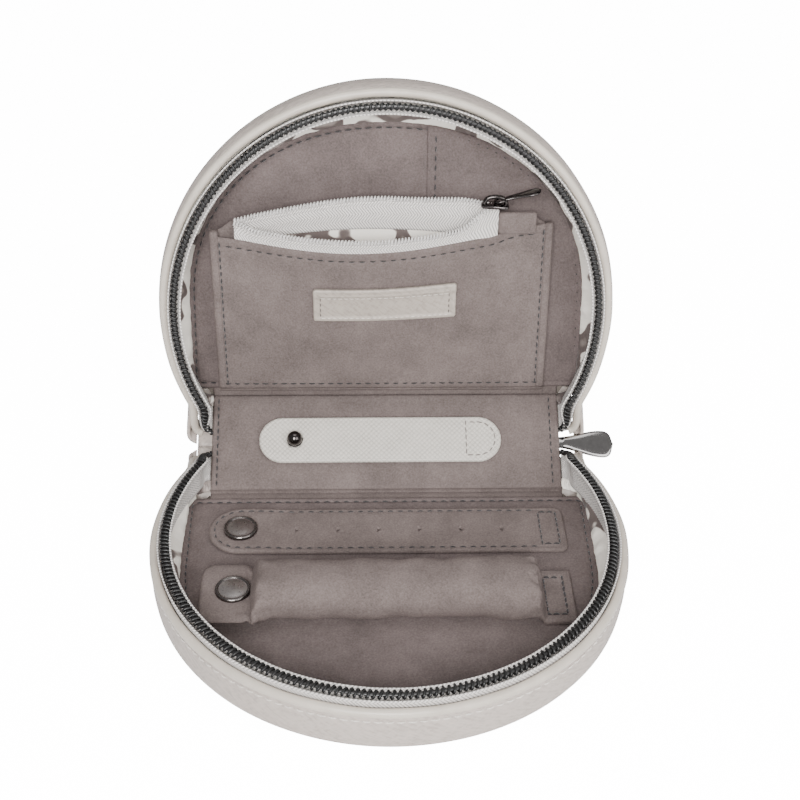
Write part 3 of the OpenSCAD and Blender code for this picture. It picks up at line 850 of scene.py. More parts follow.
        def point(s, p):
            r, z, l = p
            wave = 0.10 * wobble(s * 210, z, 0, 9, self.seed + 3)
            return self.station(s, r + wave, z, l, spine_n=2.6)
        piece = sweep(self.name + "_tape", self.stations(), curve_of(profile, 3), point, TAPE, self.run_mm)
        thicken(piece, 0.5, 1.0)
        outer = [(72.1, 15.2, 12.0), (72.5, 17.2, 13.0), (72.75, RIM_H - 1.2, 14.1)]
        ring = curve_of(outer, 3)

        def outer_point(s, i):
            r, z, l = ring[i]
            return self.station(s, r, z, l, spine_x=61.6, spine_n=1.6)
        lip = grid(self.name + "_lip", self.stations(), list(range(len(ring))), outer_point, TAPE,
                   uv=lambda s, i: (self.run_mm(s), i * 0.5))
        thicken(lip, 0.45, 1.0)
        piece = join(self.name + "_tape_webbing", [piece, lip])
        self.blend(piece, "zipper_tape")

    def zipper(self):
        ss = self.stations()
        points = [self.station(s, COIL_R, COIL_Z, 14.2, spine_x=60.2) for s in ss]
        top = (self.spine_place(0, 1, 0) - self.spine_place(0, 0, 0)).normalized()
        ups = [self.up.lerp(top, smooth(max(0.0, abs(s) - 1))).normalized() for s in ss]
        teeth = coil(self.name + "_coil_turns", points, ups, COIL, pitch=COIL_PITCH,
                     width=2.5 if self.name == "lower" else 1.8, height=1.2, strand=0.42)
        # flat dark cord that the turns wrap round
        core = tube(self.name + "_coil_cord", points, 0.8, COIL_CORD, sides=6, flatten=0.5, up=ups)
        piece = join(self.name + "_coil_half", [teeth, core])
        self.blend(piece, "zipper_coil")

    def lining(self):
        """Printed lining, gathered between the suede panel's edge and the tape."""
        rows = spaced(0, 1, 12)

        def point(s, t):
            if abs(s) <= 1:
                x, y = panel_outline(s * wall_angle(LINING_R), 1.4)
                low = self.place(x, y, FLOOR_Z - 0.6)
            else:
                e = abs(s) - 1
                side = math.copysign(1.0, s)
                x, y = panel_outline(side * wall_angle(LINING_R), 1.4)
                a = self.place(x, y, FLOOR_Z - 0.6)
                b = self.spine_place(side * SUEDE_EDGE_X, 0.6, 3.0)
                low = a.lerp(b, smooth(e))
            high = self.station(s, LINING_R, 8.6, 4.6, spine_n=2.9)
            across = (high - low)
            length = across.length / MM
            lean = math.copysign(1.0, s) if abs(s) > 1 else 0.0
            inward = (self.place(0, 0, 0) - self.station(s, 60, 0, 0)).normalized() if not lean \
                else (self.spine_place(0, 5, 3) - self.spine_place(lean * 10, 5, 3)).normalized()
            bulge = math.sin(math.pi * t) * (0.9 + 0.06 * length)
            rng = self.run_mm(s)
            gathers = (wobble(rng, 0, 0, 3.4, self.seed) + 0.6 * wobble(rng, 7, 0, 1.7, self.seed + 5)
                       ) * 0.95 * math.sin(math.pi * min(1, t * 1.1))
            if lean:
                gathers += 0.8 * math.sin(abs(s) * 46 + 3 * t) * math.sin(math.pi * t) * 0.5
            lift = self.up * (0.5 * math.sin(math.pi * t) * MM)
            return low + across * t + inward * ((gathers + bulge * 0.35) * MM) + lift
        piece = grid(self.name + "_lining_gathers", dense(self.stations(), 2), rows, point, LINING,
                     uv=lambda s, t: (self.run_mm(s), t * 6))
        thicken(piece, 0.35, 1.0)
        self.blend(piece, "wall_lining")

    def panel(self, node, name, material, back_y):
        """The suede panel: a padded sheet with a rolled edge and a sewn groove."""
        insets = [0, 0.25, 0.6, 1.1, 1.6, 2.0, 2.3, 2.6, 3.0, 3.6, 4.6, 6.5]
        fills = [0.12, 0.26, 0.42, 0.58, 0.74, 0.88]

        def surface(x, y, d):
            roll = edge_roll(d)
            seam = 0.42 * bell(d - 2.3, 0.42)
            pad = 0.35 * ramp(d, 2.3, 8)
            rest = 0.16 * wobble(x, y, 0, 17, self.seed) * ramp(d, 2, 8)
            return FLOOR_Z + 0.15 - 1.0 * roll - seam + pad + rest
        rings = [[(x, y, surface(x, y, d)) for x, y in panel_ring(back_y, d)] for d in insets]
        inner = panel_ring(back_y, insets[-1])
        for f in fills:
            spots = [(x * (1 - f), y * (1 - f) - 8 * f) for x, y in inner]
            rings.append([(x, y, surface(x, y, 9)) for x, y in spots])
        piece = ring_sheet(name, rings, (0, -8, surface(0, -8, 9)), self.place, material)
        thicken(piece, 0.6, self.under)
        fit(piece, "suede", self.body, node)
        return panel_ring(back_y, 2.3), surface

    def padding(self, node):
        """Foam under the panel, a little smaller than it."""
        back = PANEL_BACK_Y - 2.0
        rings = [[(x, y, FLOOR_Z - 0.75) for x, y in panel_ring(back, d)] for d in (3.0, 8.0, 16.0, 30.0)]
        piece = ring_sheet(self.name + "_padding", rings, (0, -8, FLOOR_Z - 0.75), self.place, FOAM)
        thicken(piece, 1.0, self.under)
        fit(piece, "foam", self.body, node)

    def panel_stitches(self, row, surface, name, lift=0.0):
        points = [self.place(x, y, surface(x, y, 2.3) + lift) for x, y in row + row[:1]]
        piece = stitches(name + "_0", points, self.up, THREAD_PAINTED_SHADE, pitch=3.3, length=2.2, radius=0.3,
                         sink=-0.16)
        fit(join(name, [piece]), "suede", self.body)


def panel_ring(back_y, d):
    """Outline of a suede panel, d mm inside its edge: round in front, straight sides and back."""
    count = 130
    base = [panel_outline(math.pi / 2 * (2 * i / count - 1), 2.2) for i in range(count + 1)]
    front = []
    for i, (x, y) in enumerate(base):
        before, after = base[max(0, i - 1)], base[min(count, i + 1)]
        along = Vector((after[0] - before[0], after[1] - before[1])).normalized()
        front.append((x - along.y * d, y + along.x * d))
    side_x, reach = front[-1][0], back_y - d
    rest = [Vector(p + (0,)) for p in ((side_x, 0), (side_x + 0.6, reach - 1.2), (side_x + 0.2, reach - 0.3),
                                       (side_x - 0.8, reach), (0.8 - side_x, reach),
                                       (-side_x - 0.2, reach - 0.3), (-side_x - 0.6, reach - 1.2),
                                       (-side_x, 0))]
    run = lengths(rest)
    back = [at_length(rest, run, run[-1] * i / count)[0] for i in range(1, count)]
    return front + [(p.x, p.y) for p in back]


def ring_sheet(name, rings, centre, place, material):
    """A sheet made of nested closed rings of (x, y, z), filled to a centre point."""
    n = len(rings[0])
    flat = [p for ring in rings for p in ring] + [centre]
    faces = [[k * n + i, k * n + (i + 1) % n, (k + 1) * n + (i + 1) % n, (k + 1) * n + i]
             for k in range(len(rings) - 1) for i in range(n)]
    last = (len(rings) - 1) * n
    faces += [[last + i, last + (i + 1) % n, len(flat) - 1] for i in range(n)]
    piece = new_piece(name, [place(*p) for p in flat], faces, material,
                      [[flat[v][:2] for v in f] for f in faces])
    return mend(piece, weld=True, outward=False)


def outline_distance(outline, x, y):
    """Distance from (x, y) to a closed outline, in mm."""
    pts = np.array(outline + outline[:1])
    a, b = pts[:-1], pts[1:]
    ab = b - a
    t = np.clip(((np.array([x, y]) - a) * ab).sum(1) / np.maximum((ab ** 2).sum(1), 1e-12), 0, 1)
    nearest = a + ab * t[:, None]
    return float(np.sqrt(((nearest - np.array([x, y])) ** 2).sum(1)).min())


def dense(values, times):
    out = []
    for a, b in zip(values, values[1:]):
        out += [lerp(a, b, k / times) for k in range(times)]
    return out + [values[-1]]


def inset_ring(outline, d):
    """A closed outline moved inwards by d mm. The outline runs clockwise or anticlockwise."""
    n = len(outline)
    pts = [Vector(p) for p in outline]
    area = sum(pts[i].x * pts[(i + 1) % n].y - pts[(i + 1) % n].x * pts[i].y for i in range(n))
    sign = 1.0 if area > 0 else -1.0
    out = []
    for i in range(n):
        along = (pts[(i + 1) % n] - pts[i - 1]).normalized()
        out.append((pts[i].x - sign * along.y * d, pts[i].y + sign * along.x * d))
    return out


def close_centre(piece, n, centre):
    """Fills the first ring of a wrapped grid with a fan round centre."""
    bm = bmesh.new()
    bm.from_mesh(piece.data)
    bm.verts.ensure_lookup_table()
    uv = bm.loops.layers.uv.active
    ring = [bm.verts[i] for i in range(n)]
    mid = bm.verts.new(centre)
    for i in range(n):
        face = bm.faces.new([ring[(i + 1) % n], ring[i], mid])
        face.smooth = True
        for loop in face.loops:
            if loop.vert != mid:
                other = next(l for l in loop.vert.link_loops if l.face != face)
                loop[uv].uv = other[uv].uv
    bm.to_mesh(piece.data)
    bm.free()


LOWER = Half("lower", "lower_case", tray, spine, 1.3)
UPPER = Half("upper", "lid", lid_as_tray, spine_from_top, 7.7)
PANEL_BACK_Y = CHORD_Y - 4.5

for half in (LOWER, UPPER):
    half.outer_wall()
    half.wall_stitches()
    half.piping()
    half.base()
    half.tape()
    half.zipper()
    half.lining()

lower_outline, lower_surface = LOWER.panel("lower_floor_panel", "floor_suede", SUEDE_SHADED, PANEL_BACK_Y)
LOWER.panel_stitches(lower_outline, lower_surface, "floor_stitches")
upper_outline, upper_surface = UPPER.panel("upper_back_panel", "back_suede", SUEDE_SHADED, PANEL_BACK_Y)
UPPER.panel_stitches(upper_outline, upper_surface, "back_stitches", 0.45)
for prefix in ("lower", "upper"):
    dress(prefix + "_base_board", BOARD)
    dress(prefix + "_wall_foam", FOAM)
LOWER.padding("lower_floor_foam")
UPPER.padding("upper_back_foam")


# ---------------------------------------------------------------- side pocket behind the pouch

POCKET_X = 13.0


def side_pocket():
    """The right part of the lid's back is a second sheet, whose sewn edge shows above the pouch."""
    outer = panel_ring(PANEL_BACK_Y, 0.5)
    right = [p for p in outer if p[0] > POCKET_X]
    right.sort(key=lambda p: math.atan2(p[1] + 10, p[0] - POCKET_X))
    top_y, back_y = right[0][1], right[-1][1]
    outline = [(POCKET_X, top_y)] + right + [(POCKET_X, back_y)]
    arc = [p for p in right if p[1] < 0]
    arc_x, arc_y = [p[0] for p in arc], [p[1] for p in arc]
    x_max = max(arc_x) - 0.05

    def height(x, y, d):
        roll = math.sqrt(max(0.0, 1 - (1 - min(1, d / 0.7)) ** 2))
        dip = 0.3 * bell(x - POCKET_X - 2.9, 0.45)
        edge_dip = 0.3 * bell(d - 1.8, 0.45)
        return upper_surface(x, y, 9) - 0.35 + 0.8 * roll - max(dip, edge_dip)
    near = [0, 0.1, 0.3, 0.6, 1.0, 1.4, 1.8, 2.2, 2.6, 2.9, 3.2, 3.8]
    xs = [POCKET_X + v for v in near] + spaced(POCKET_X + 5, x_max - 5, 26) \
        + [x_max - v for v in reversed(near)]
    ts = [v / 80 for v in near] + spaced(0.06, 0.94, 26) + [1 - v / 80 for v in reversed(near)]

    def point(x, t):
        y = lerp(float(np.interp(x, arc_x, arc_y)), back_y, t)
        return UPPER.place(x, y, height(x, y, outline_distance(outline, x, y)))
    piece = grid("side_pocket_suede", xs, ts, point, SUEDE_SHADED, uv=lambda x, t: (x, t * 80))
    fit(piece, "suede", "lid", "side_pocket_panel")
    ys = spaced(top_y + 3, back_y - 3, 60)
    x = POCKET_X + 2.9
    row = [UPPER.place(x, y, height(x, y, 6) + 0.05) for y in ys]
    seam_row = stitches("side_pocket_stitches", row, UPPER.up, THREAD_PAINTED_SHADE, pitch=3.2, length=2.1,
                        radius=0.3, sink=-0.16)
    fit(seam_row, "suede", "lid")


side_pocket()


# ---------------------------------------------------------------- the spine

SPINE_MID = SPINE_L / 2
SPINE_STITCH_X = (-58.4, 57.2)


ACROSS = [-1, -0.9965, -0.99, -0.98, -0.972, -0.9655, -0.958, -0.945] + spaced(-0.92, 0.92, 46) \
    + [0.945, 0.958, 0.9655, 0.972, 0.98, 0.99, 0.9965, 1]


def spine_suede():
    """Suede over the spine, sewn down both sides, with a rolled crease along each fold."""
    half_w = 60.4
    ls = [0.7, 0.8, 1.0, 1.3, 1.8, 2.4] + spaced(3.2, SPINE_L - 3.2, 30) \
        + [SPINE_L - d for d in (2.4, 1.8, 1.3, 1.0, 0.8, 0.7)]

    def point(q, l):
        x = q * half_w
        from_edge = half_w - abs(x)
        from_fold = min(l, SPINE_L - l) - 0.7
        seam = 0.35 * bell(from_edge - 2.1, 0.45)
        pad = 0.2 * ramp(from_edge, 2.5, 9) * ramp(from_fold, 0.5, 6)
        rest = 0.12 * wobble(x, l, 0, 13, 3.3) * ramp(from_fold, 0, 5)
        n = 3.95 - 0.9 * edge_roll(from_edge) - 0.75 * edge_roll(from_fold, 1.2) - seam + pad + rest
        return spine(x, l, n)
    piece = grid("spine_suede", ACROSS, ls, point, SUEDE, uv=lambda q, l: (q * 60, l))
    thicken(piece, 0.55, -1.0)
    fit(piece, "suede", "spine", "spine_lining")
    rows = []
    for x in SPINE_STITCH_X:
        points = [spine(x, l, 3.9) for l in spaced(1.8, SPINE_L - 1.8, 24)]
        rows.append(stitches(f"row_{x:.0f}", points, SPINE_UP, THREAD_PAINTED_SHADE, pitch=2.75, length=1.9,
                             radius=0.29, sink=-0.16))
    fit(join("spine_stitches", rows), "suede", "spine")


def fold_suede(half, name, under):
    """Suede that runs from under the half's panel, over the fold, to under the spine's suede."""
    path = [(-10.5, 3.7), (-6, 3.75), (-4.2, 3.8), (-2.4, 3.75), (-0.8, 3.5), (0.5, 3.35), (1.8, 3.3),
            (5.0, 3.3)]

    def point(q, p):
        d, n, _ = p
        x = q * 60.6
        n -= 0.7 * edge_roll(60.6 - abs(x))
        t = ramp(d, -1.2, 1.6)
        return half.place(x, CHORD_Y + d, n).lerp(half.spine_place(x, d, n), t)
    piece = sweep(name, ACROSS, curve_of(path, 4), point, SUEDE, lambda q: q * 60)
    thicken(piece, 0.4, under)
    half.place(0, CHORD_Y - 1.6, 3)
    half.spine_place(0, 2.0, 3)
    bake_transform(piece)


def spine_leather(half, name, flip):
    """Outer leather from under the half, round the fold, to the middle of the spine."""
    path = [(-3.0, 0.1), (-1.2, 0.05), (0.4, -0.15), (1.8, -0.7), (3.4, -1.25), (6, -1.5),
            (10, -1.6), (14, -1.6), (18.0, -1.6)]
    half_w = 65.9

    def point(q, p):
        d, n, _ = p
        # cut back on the right, where the main pull swings past the edge
        edge = lerp(half_w, 58.9, ramp(d, 12.2, 13.8)) if q > 0 else half_w
        x = q * edge
        from_edge = edge - abs(x)
        roll = edge_roll(from_edge, 0.7)
        n = n + 0.5 * roll + 0.12 * wobble(x, d, 0, 12, half.seed + 6)
        t = ramp(d, -1.0, 2.0)
        return half.place(x, CHORD_Y + d, max(0.03, n)).lerp(half.spine_place(x, d, n), t)
    piece = sweep(name, spaced(-1, 1, 60), curve_of(path, 3), point, LEATHER, lambda q: q * half_w)
    thicken(piece, 1.0, flip)
    half.place(0, CHORD_Y - 1.6, 0.5)
    half.spine_place(0, 2.4, 0)
    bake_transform(piece)
    return piece


spine_suede()
fold_suede(LOWER, "fold_suede_lower", -1.0)
fold_suede(UPPER, "fold_suede_upper", 1.0)
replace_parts(spine_leather(LOWER, "spine_leather_lower", 1.0), "outer_spine")
spine_leather(UPPER, "spine_leather_upper", -1.0)
dress("spine_board", BOARD)
dress("spine_foam", FOAM)


# ---------------------------------------------------------------- flat straps

def strap(name, place, x0, x1, width_at, middle_y, base_z, thick, material, relief=None,
          steps=150, seam_inset=1.8, seam_depth=0.16, edge=0.8):
    """A flat sewn strap along X. width_at(x) is its half width, base_z(x) its underside."""
    # stations crowd towards both ends, where the outline turns
    xs = [x0 + (x1 - x0) * (0.5 - 0.5 * math.cos(math.pi * (0.5 - 0.5 * math.cos(math.pi * i / steps))))
          for i in range(steps + 1)]
    xs[0], xs[-1] = x0 + 0.02, x1 - 0.02
    rim = [(x, width_at(x)) for x in xs] + [(x, -width_at(x)) for x in reversed(xs)]
    insets = [0.0, 0.12, 0.35, 0.7, 1.1, 1.5, 1.8, 2.1, 2.6, 3.4]

    def section(x):
        """Points (y, side, d) across the top from +y to -y, then back under."""
        w = width_at(x)
        ys = [w - min(d, w * 0.98 * d / insets[-1]) for d in insets]
        mids = [ys[-1] * (1 - f) for f in (0.35, 0.7)]
        half = ys + mids
        return half + [0.0] + [-y for y in reversed(half)]
    columns = [section(x) for x in xs]
    n = len(columns[0])
    top, bottom = [], []
    for x, ys in zip(xs, columns):
        for y in ys:
            d = outline_distance(rim, x, y)
            round_off = edge_roll(d, edge)
            extra = relief(x, y, d) if relief else 0.0
            z = base_z(x)
            upper = z + thick - round_off * thick * 0.5 - seam_depth * bell(d - seam_inset, 0.42) + extra
            lower = z + round_off * thick * 0.5
            top.append((x, middle_y + y, upper))
            bottom.append((x, middle_y + y, lower))
    m = len(xs)
    flat = list(top)
    under = {}
    for i in range(m):
        for k in range(n):
            # the two faces share the rim's points, so the strap is one closed skin
            if i in (0, m - 1) or k in (0, n - 1):
                under[i, k] = i * n + k
            else:
                under[i, k] = len(flat)
                flat.append(bottom[i * n + k])
    faces = []
    for i in range(m - 1):
        for k in range(n - 1):
            faces.append([i * n + k, i * n + k + 1, (i + 1) * n + k + 1, (i + 1) * n + k])
            faces.append([under[i, k], under[i + 1, k], under[i + 1, k + 1], under[i, k + 1]])
    uvs = [[flat[v][:2] for v in f] for f in faces]
    return mend(new_piece(name, [place(*p) for p in flat], faces, material, uvs))


def tongue_width(x0, x1, w, corner, round_far=False):
    """Half width of a strap with one round end, and a square or round far end."""
    r = w / 2

    def at(x):
        out = r
        if x < x0 + r:
            out = min(out, math.sqrt(max(0.0, r * r - (x - x0 - r) ** 2)))
        c = r if round_far else corner
        if x > x1 - c:
            out = min(out, r - c + math.sqrt(max(0.0, c * c - (x - x1 + c) ** 2)))
        return max(out, 0.05)
    return at


def rounded_width(x0, x1, half, c):
    """Half width of a rectangle from x0 to x1 with its corners rounded by c mm."""
    def at(x):
        out = half
        for edge, sign in ((x0, 1), (x1, -1)):
            q = (x - edge) * sign
            if q < c:
                out = min(out, half - c + math.sqrt(max(0.0, c * c - (c - q) ** 2)))
        return max(out, 0.1)
    return at


def box_stitches(name, x0, x1, w, y_mid, z, **thread):
    """A square of stitches on the tray's straps, w mm to both sides of y_mid."""
    corners = [(x0, w), (x1, w), (x1, -w), (x0, -w), (x0, w)]
    points = [tray(lerp(ax, bx, t), y_mid + lerp(ay, by, t), z)
              for (ax, ay), (bx, by) in zip(corners, corners[1:]) for t in spaced(0, 0.98, 14)]
    fit(stitches(name, points, TRAY_UP, BOX_THREAD_PAINTED_SHADE, **thread), "suede", "lower_case")


def cut_holes(piece, holes, radius, place, depth=6, solver="EXACT"):
    """Drills round holes along the frame's z through a strap."""
    cutters = []
    for x, y, z in holes:
        ring = [(0, -depth), (radius, -depth), (radius, depth), (0, depth)]
        drill = lathe("cutter", ring, place(x, y, z), up_of(place), SUEDE, steps=20)
        cutters.append(mend(drill, weld=True))
    cutter = join("cutters", cutters)
    boolean = piece.modifiers.new("Holes", "BOOLEAN")
    boolean.operation = "DIFFERENCE"
    boolean.object = cutter
    boolean.solver = solver
    bake(piece)
    bpy.data.objects.remove(cutter)
    return piece


SNAP_X = -48.6
SNAP_LIFT = 0.7
ROLL_TAB_LIFT = 4.5


def snap_cap(name, y, base):
    """Domed snap cap: rolled rim, groove and a brushed disc."""
    profile = [(0.0, -0.1), (5.0, -0.1), (5.5, 0.1), (5.62, 0.5), (5.55, 0.95), (5.3, 1.25), (5.1, 1.32),
               (4.85, 1.3), (4.6, 1.1), (4.45, 1.0), (3.9, 1.02), (3.2, 1.12), (2.2, 1.24),
               (1.1, 1.32), (0.3, 1.34), (0.0, 1.34)]
    rim = [(max(0.0, p.x), p.y) for p in curve_of(profile, 3)]
    centre = tray(SNAP_X, y, base)
    split = next(i for i, p in enumerate(rim) if i > 12 and p[0] < 4.5)
    ring = lathe(name + "_rim", rim[:split + 1], centre, TRAY_UP, GUNMETAL, 72)
    disc = lathe(name + "_disc", rim[split:], centre, TRAY_UP, BRUSHED, 72)
    return join(name, [ring, disc])


def earring_strap():
    low, high = box_mm("earring_strap")
    x0 = low.x
    x1 = box_mm("earring_strap_end")[1].x
    middle = (low.y + high.y) / 2
    width = high.y - low.y
    shape = tongue_width(x0, x1, width, 3.0)

    def base(x):
        return FLOOR_Z + 0.22 + (SNAP_LIFT - 0.22) * (1 - ramp(x, SNAP_X + 5, SNAP_X + 17))

    def relief(x, y, d):
        press = -0.25 * bell(math.hypot(x - SNAP_X, y) - 5.4, 1.3)
        box = -0.14 * (bell(x - 50.2, 0.5) + bell(x - 56.0, 0.5)) * (1 if abs(y) < 7.8 else 0)
        return press + box + 0.10 * wobble(x, y, 0, 8, 3.1) * ramp(d, 1, 4)
    piece = strap("earring_bar_suede", tray, x0, x1, shape, middle, base, 1.75, SUEDE, relief)
    pitch = 13.5
    holes = [(-30.2 + i * pitch, middle, FLOOR_Z + 1.2) for i in range(6)]
    cut_holes(piece, holes, 0.55, tray)
    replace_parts(piece, "earring_strap", "earring_strap_end")
    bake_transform(piece)

    def surface(x):
        return base(x) + 1.7
    inset = 1.8
    outline = [(x, shape(x)) for x in spaced(x0 + 0.05, x1 - 0.05, 260)]
    ring = outline + [(x, -w) for x, w in reversed(outline)]
    inner = inset_ring(ring, inset)
    lifted = [(x, y) for x, y in inner if x < 49.4]
    # start the row at the far end so that it runs round the tip in one piece
    points = [tray(x, middle + y, surface(x)) for x, y in order_open(lifted)]
    row = stitches("earring_bar_stitches", points, TRAY_UP, THREAD_PAINTED_SHADE, pitch=3.35, length=1.9,
                   radius=0.25, sink=-0.1)
    fit(row, "suede", "earring_strap")
    box_stitches("earring_bar_box_stitches", 50.2, 56.0, 7.9, middle, surface(55) - 0.05, pitch=2.7,
                 length=2.2, radius=0.33, sink=-0.25)
    fit(snap_cap("earring_cap", middle, base(SNAP_X) + 1.6), "gunmetal", "earring_strap", "earring_snap_cap")


def order_open(points):
    """Points of a ring with a gap in it, in order along it."""
    n = len(points)
    gaps = [(math.dist(points[i], points[i - 1]), i) for i in range(n)]
    _, start = max(gaps)
    return points[start:] + points[:start]


def necklace_strap():
    low, high = -44.0, 39.8
    width = 16.4
    shape = tongue_width(low, high, width, 3.0, round_far=True)
    base_n = SUEDE_TOP_N + 0.45

    def base(x):
        return base_n + 0.12 * wobble(x, 0, 0, 24, 9)

    def relief(x, y, d):
        edge_line = -0.10 * bell(d - 1.5, 0.35)
        stud = -0.3 * bell(math.hypot(x + 31.7, y) - 2.4, 1.2)
        return edge_line + stud + 0.08 * wobble(x, y, 0, 11, 6)
    piece = strap("necklace_bar_leather", spine, low, high, shape, SPINE_MID, base, 1.75,
                     STRAP_LEATHER, relief, seam_depth=0.0, edge=0.9)
    cut_holes(piece, [(-31.7, SPINE_MID, base_n + 1)], 2.75, spine, solver="FAST")
    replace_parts(piece, "necklace_strap", "necklace_strap_end")
    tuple(spine(25.1, 0, 0))
    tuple(spine(27.6, 0, 0))
    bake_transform(piece)
    # a D of stitches that holds the fixed end
    r = 6.0
    path = [(27.6, lerp(-r, r, t)) for t in spaced(0, 1, 20)]
    path += [(31.6 + r * math.sin(a), r * math.cos(a)) for a in spaced(0, math.pi, 30)]
    path += [(lerp(31.6, 27.6, t), -r) for t in spaced(0, 1, 6)]
    points = [spine(x, SPINE_MID + y, base_n + 1.75 + 0.02) for x, y in path]
    row = stitches("necklace_bar_stitches", points, SPINE_UP, THREAD_GREY, pitch=2.6, length=1.9,
                   radius=0.22, sink=-0.1)
    fit(row, "strap_leather", "spine")
    profile = [(0.0, -1.0), (1.25, -1.0), (1.2, 0.6), (1.35, 1.0)]
    ball_r = 2.6
    ball = [(ball_r * math.cos(a), 3.3 + ball_r * math.sin(a)) for a in spaced(-1.05, math.pi / 2, 18)]
    stud = lathe("necklace_ball_stud", profile + ball, spine(-31.7, SPINE_MID, SUEDE_TOP_N + 0.2),
                 SPINE_UP, DARK_METAL, 48)
    collar = lathe("stud_collar", [(0, 0.0), (3.6, 0.0), (3.8, 0.25), (3.5, 0.5), (1.2, 0.6), (0, 0.6)],
                   spine(-31.7, SPINE_MID, SUEDE_TOP_N + 0.1), SPINE_UP, GUNMETAL, 40)
    fit(join("necklace_ball_stud", [stud, collar]), "gunmetal", "spine", "ball_stud")


earring_strap()
necklace_strap()


# ---------------------------------------------------------------- ring roll

ROLL_LOW, ROLL_HIGH = box_mm("ring_roll_core")
ROLL_Y = (ROLL_LOW.y + ROLL_HIGH.y) / 2 + 0.7
ROLL_X0, ROLL_X1 = ROLL_LOW.x - 0.9, ROLL_HIGH.x + 2.6
ROLL_W = ROLL_HIGH.y - ROLL_LOW.y + 2.8
ROLL_TOP = ROLL_HIGH.z + 0.9
ROLL_BOTTOM = ROLL_LOW.z - 0.9
ROLL_END_X = box_mm("ring_roll_end_tab")[1].x
ROLL_TAB_X = box_mm("ring_roll_cover")[0].x


def roll_section(x):
    """Half width, underside and top of the ring roll's cover at x."""
    full = (ROLL_W / 2, ROLL_BOTTOM + 0.1, ROLL_TOP - 0.2)
    tab_low = FLOOR_Z + ROLL_TAB_LIFT + 0.05
    tab = (13.1, tab_low, tab_low + 2.3)
    # the tab narrows to a pinched neck, then the stuffed body swells quickly
    t = ramp(x, ROLL_X0 - 1.5, ROLL_X0 + 3.5)
    neck = 1.5 * bell(x - ROLL_X0 + 1.2, 1.3)
    half_w = lerp(tab[0], full[0], ramp(x, ROLL_X0 - 2, ROLL_X0 + 3)) - neck
    low = lerp(tab[1], full[1], t)
    high = lerp(tab[2], full[2], ramp(x, ROLL_X0 - 1.0, ROLL_X0 + 3.0)) - 0.6 * neck
    # squared-off right end
    shut = ramp(x, ROLL_X1 - 2.2, ROLL_X1 + 1.0)
    half_w = lerp(half_w, 9.8, shut)
    high = lerp(high, FLOOR_Z + 3.0, shut ** 1.4)
    low = lerp(low, FLOOR_Z + 0.5, shut)
    if x < ROLL_TAB_X + 5:
        q = (ROLL_TAB_X + 5 - x) / 5
        half_w = 8.2 + (half_w - 8.2) * math.sqrt(max(0.0, 1 - q * q))
    return half_w, low, high


def roll_point(x, a):
    """Point on the stuffed cover at x and angle a round it."""
    half_w, low, high = roll_section(x)
    c, s = math.cos(a), math.sin(a)
    body = ramp(x, ROLL_X0 - 2, ROLL_X0 + 6) * (1 - ramp(x, ROLL_X1 - 3, ROLL_X1 + 1))
    power = lerp(0.45, 0.85, body)
    y = math.copysign(abs(c) ** power, c) * half_w
    h = math.copysign(abs(s) ** lerp(0.9, 0.8, body), s)
    z = (low + high) / 2 + h * (high - low) / 2
    # soft lumps along the body, and gathers that fan from both ends
    lump = 0.55 * wobble(x, 0, 0, 15, 2.0) * body
    side = abs(c)
    fan_left = bell(x - ROLL_X0 - 1.8, 4.2) * math.sin(8 * a + 1.2 * math.sin(x * 0.4))
    fan_right = bell(x - ROLL_X1 + 0.8, 3.4) * math.sin(9 * a + 0.5)
    fold = 0.6 * fan_left + 0.55 * fan_right
    ripple = 0.42 * wobble(x, 9 * c, 9 * s, 6.5, 5.0) * body
    out = lump * 0.7 + fold + ripple
    y += out * c + 0.9 * side * wobble(x, 3, 0, 13, 8.0) * math.copysign(1, c) * body
    if c < 0:
        y -= side * (1.7 * bell(x - ROLL_X0 - 1.5, 3.5) + 1.4 * bell(x - ROLL_X1 + 8, 4.5))
    z += out * s * 0.9
    return x, ROLL_Y + y, max(FLOOR_Z + 0.45, z)


def simulate_cloth(obj, scale, frames, pressure, pinned, cap):
    """Inflates a closed cover as cloth and keeps each point within cap mm of its start."""
    start = [v.co.copy() for v in obj.data.vertices]
    obj.data.transform(Matrix.Scale(scale, 4))
    group = obj.vertex_groups.new(name="held")
    for i, co in enumerate(start):
        weight = pinned(co)
        if weight > 0:
            group.add([i], weight, "REPLACE")
    cloth = obj.modifiers.new("Cloth", "CLOTH")
    settings = cloth.settings
    settings.quality = 6
    settings.mass = 0.25
    settings.tension_stiffness = 18
    settings.compression_stiffness = 18
    settings.shear_stiffness = 8
    settings.bending_stiffness = 0.35
    settings.use_pressure = True
    settings.uniform_pressure_force = pressure
    settings.vertex_group_mass = "held"
    settings.effector_weights.gravity = 0
    settings.shrink_min = -0.06
    cloth.collision_settings.use_collision = False
    scene = bpy.context.scene
    cloth.point_cache.frame_start = 1
    cloth.point_cache.frame_end = frames
    for f in range(1, frames + 1):
        scene.frame_set(f)
    bake(obj)
    scene.frame_set(1)
    obj.data.transform(Matrix.Scale(1 / scale, 4))
    for v, s in zip(obj.data.vertices, start):
        move = v.co - s
        if move.length > cap * MM:
            v.co = s + move.normalized() * (cap * MM)
    obj.vertex_groups.clear()
    return obj


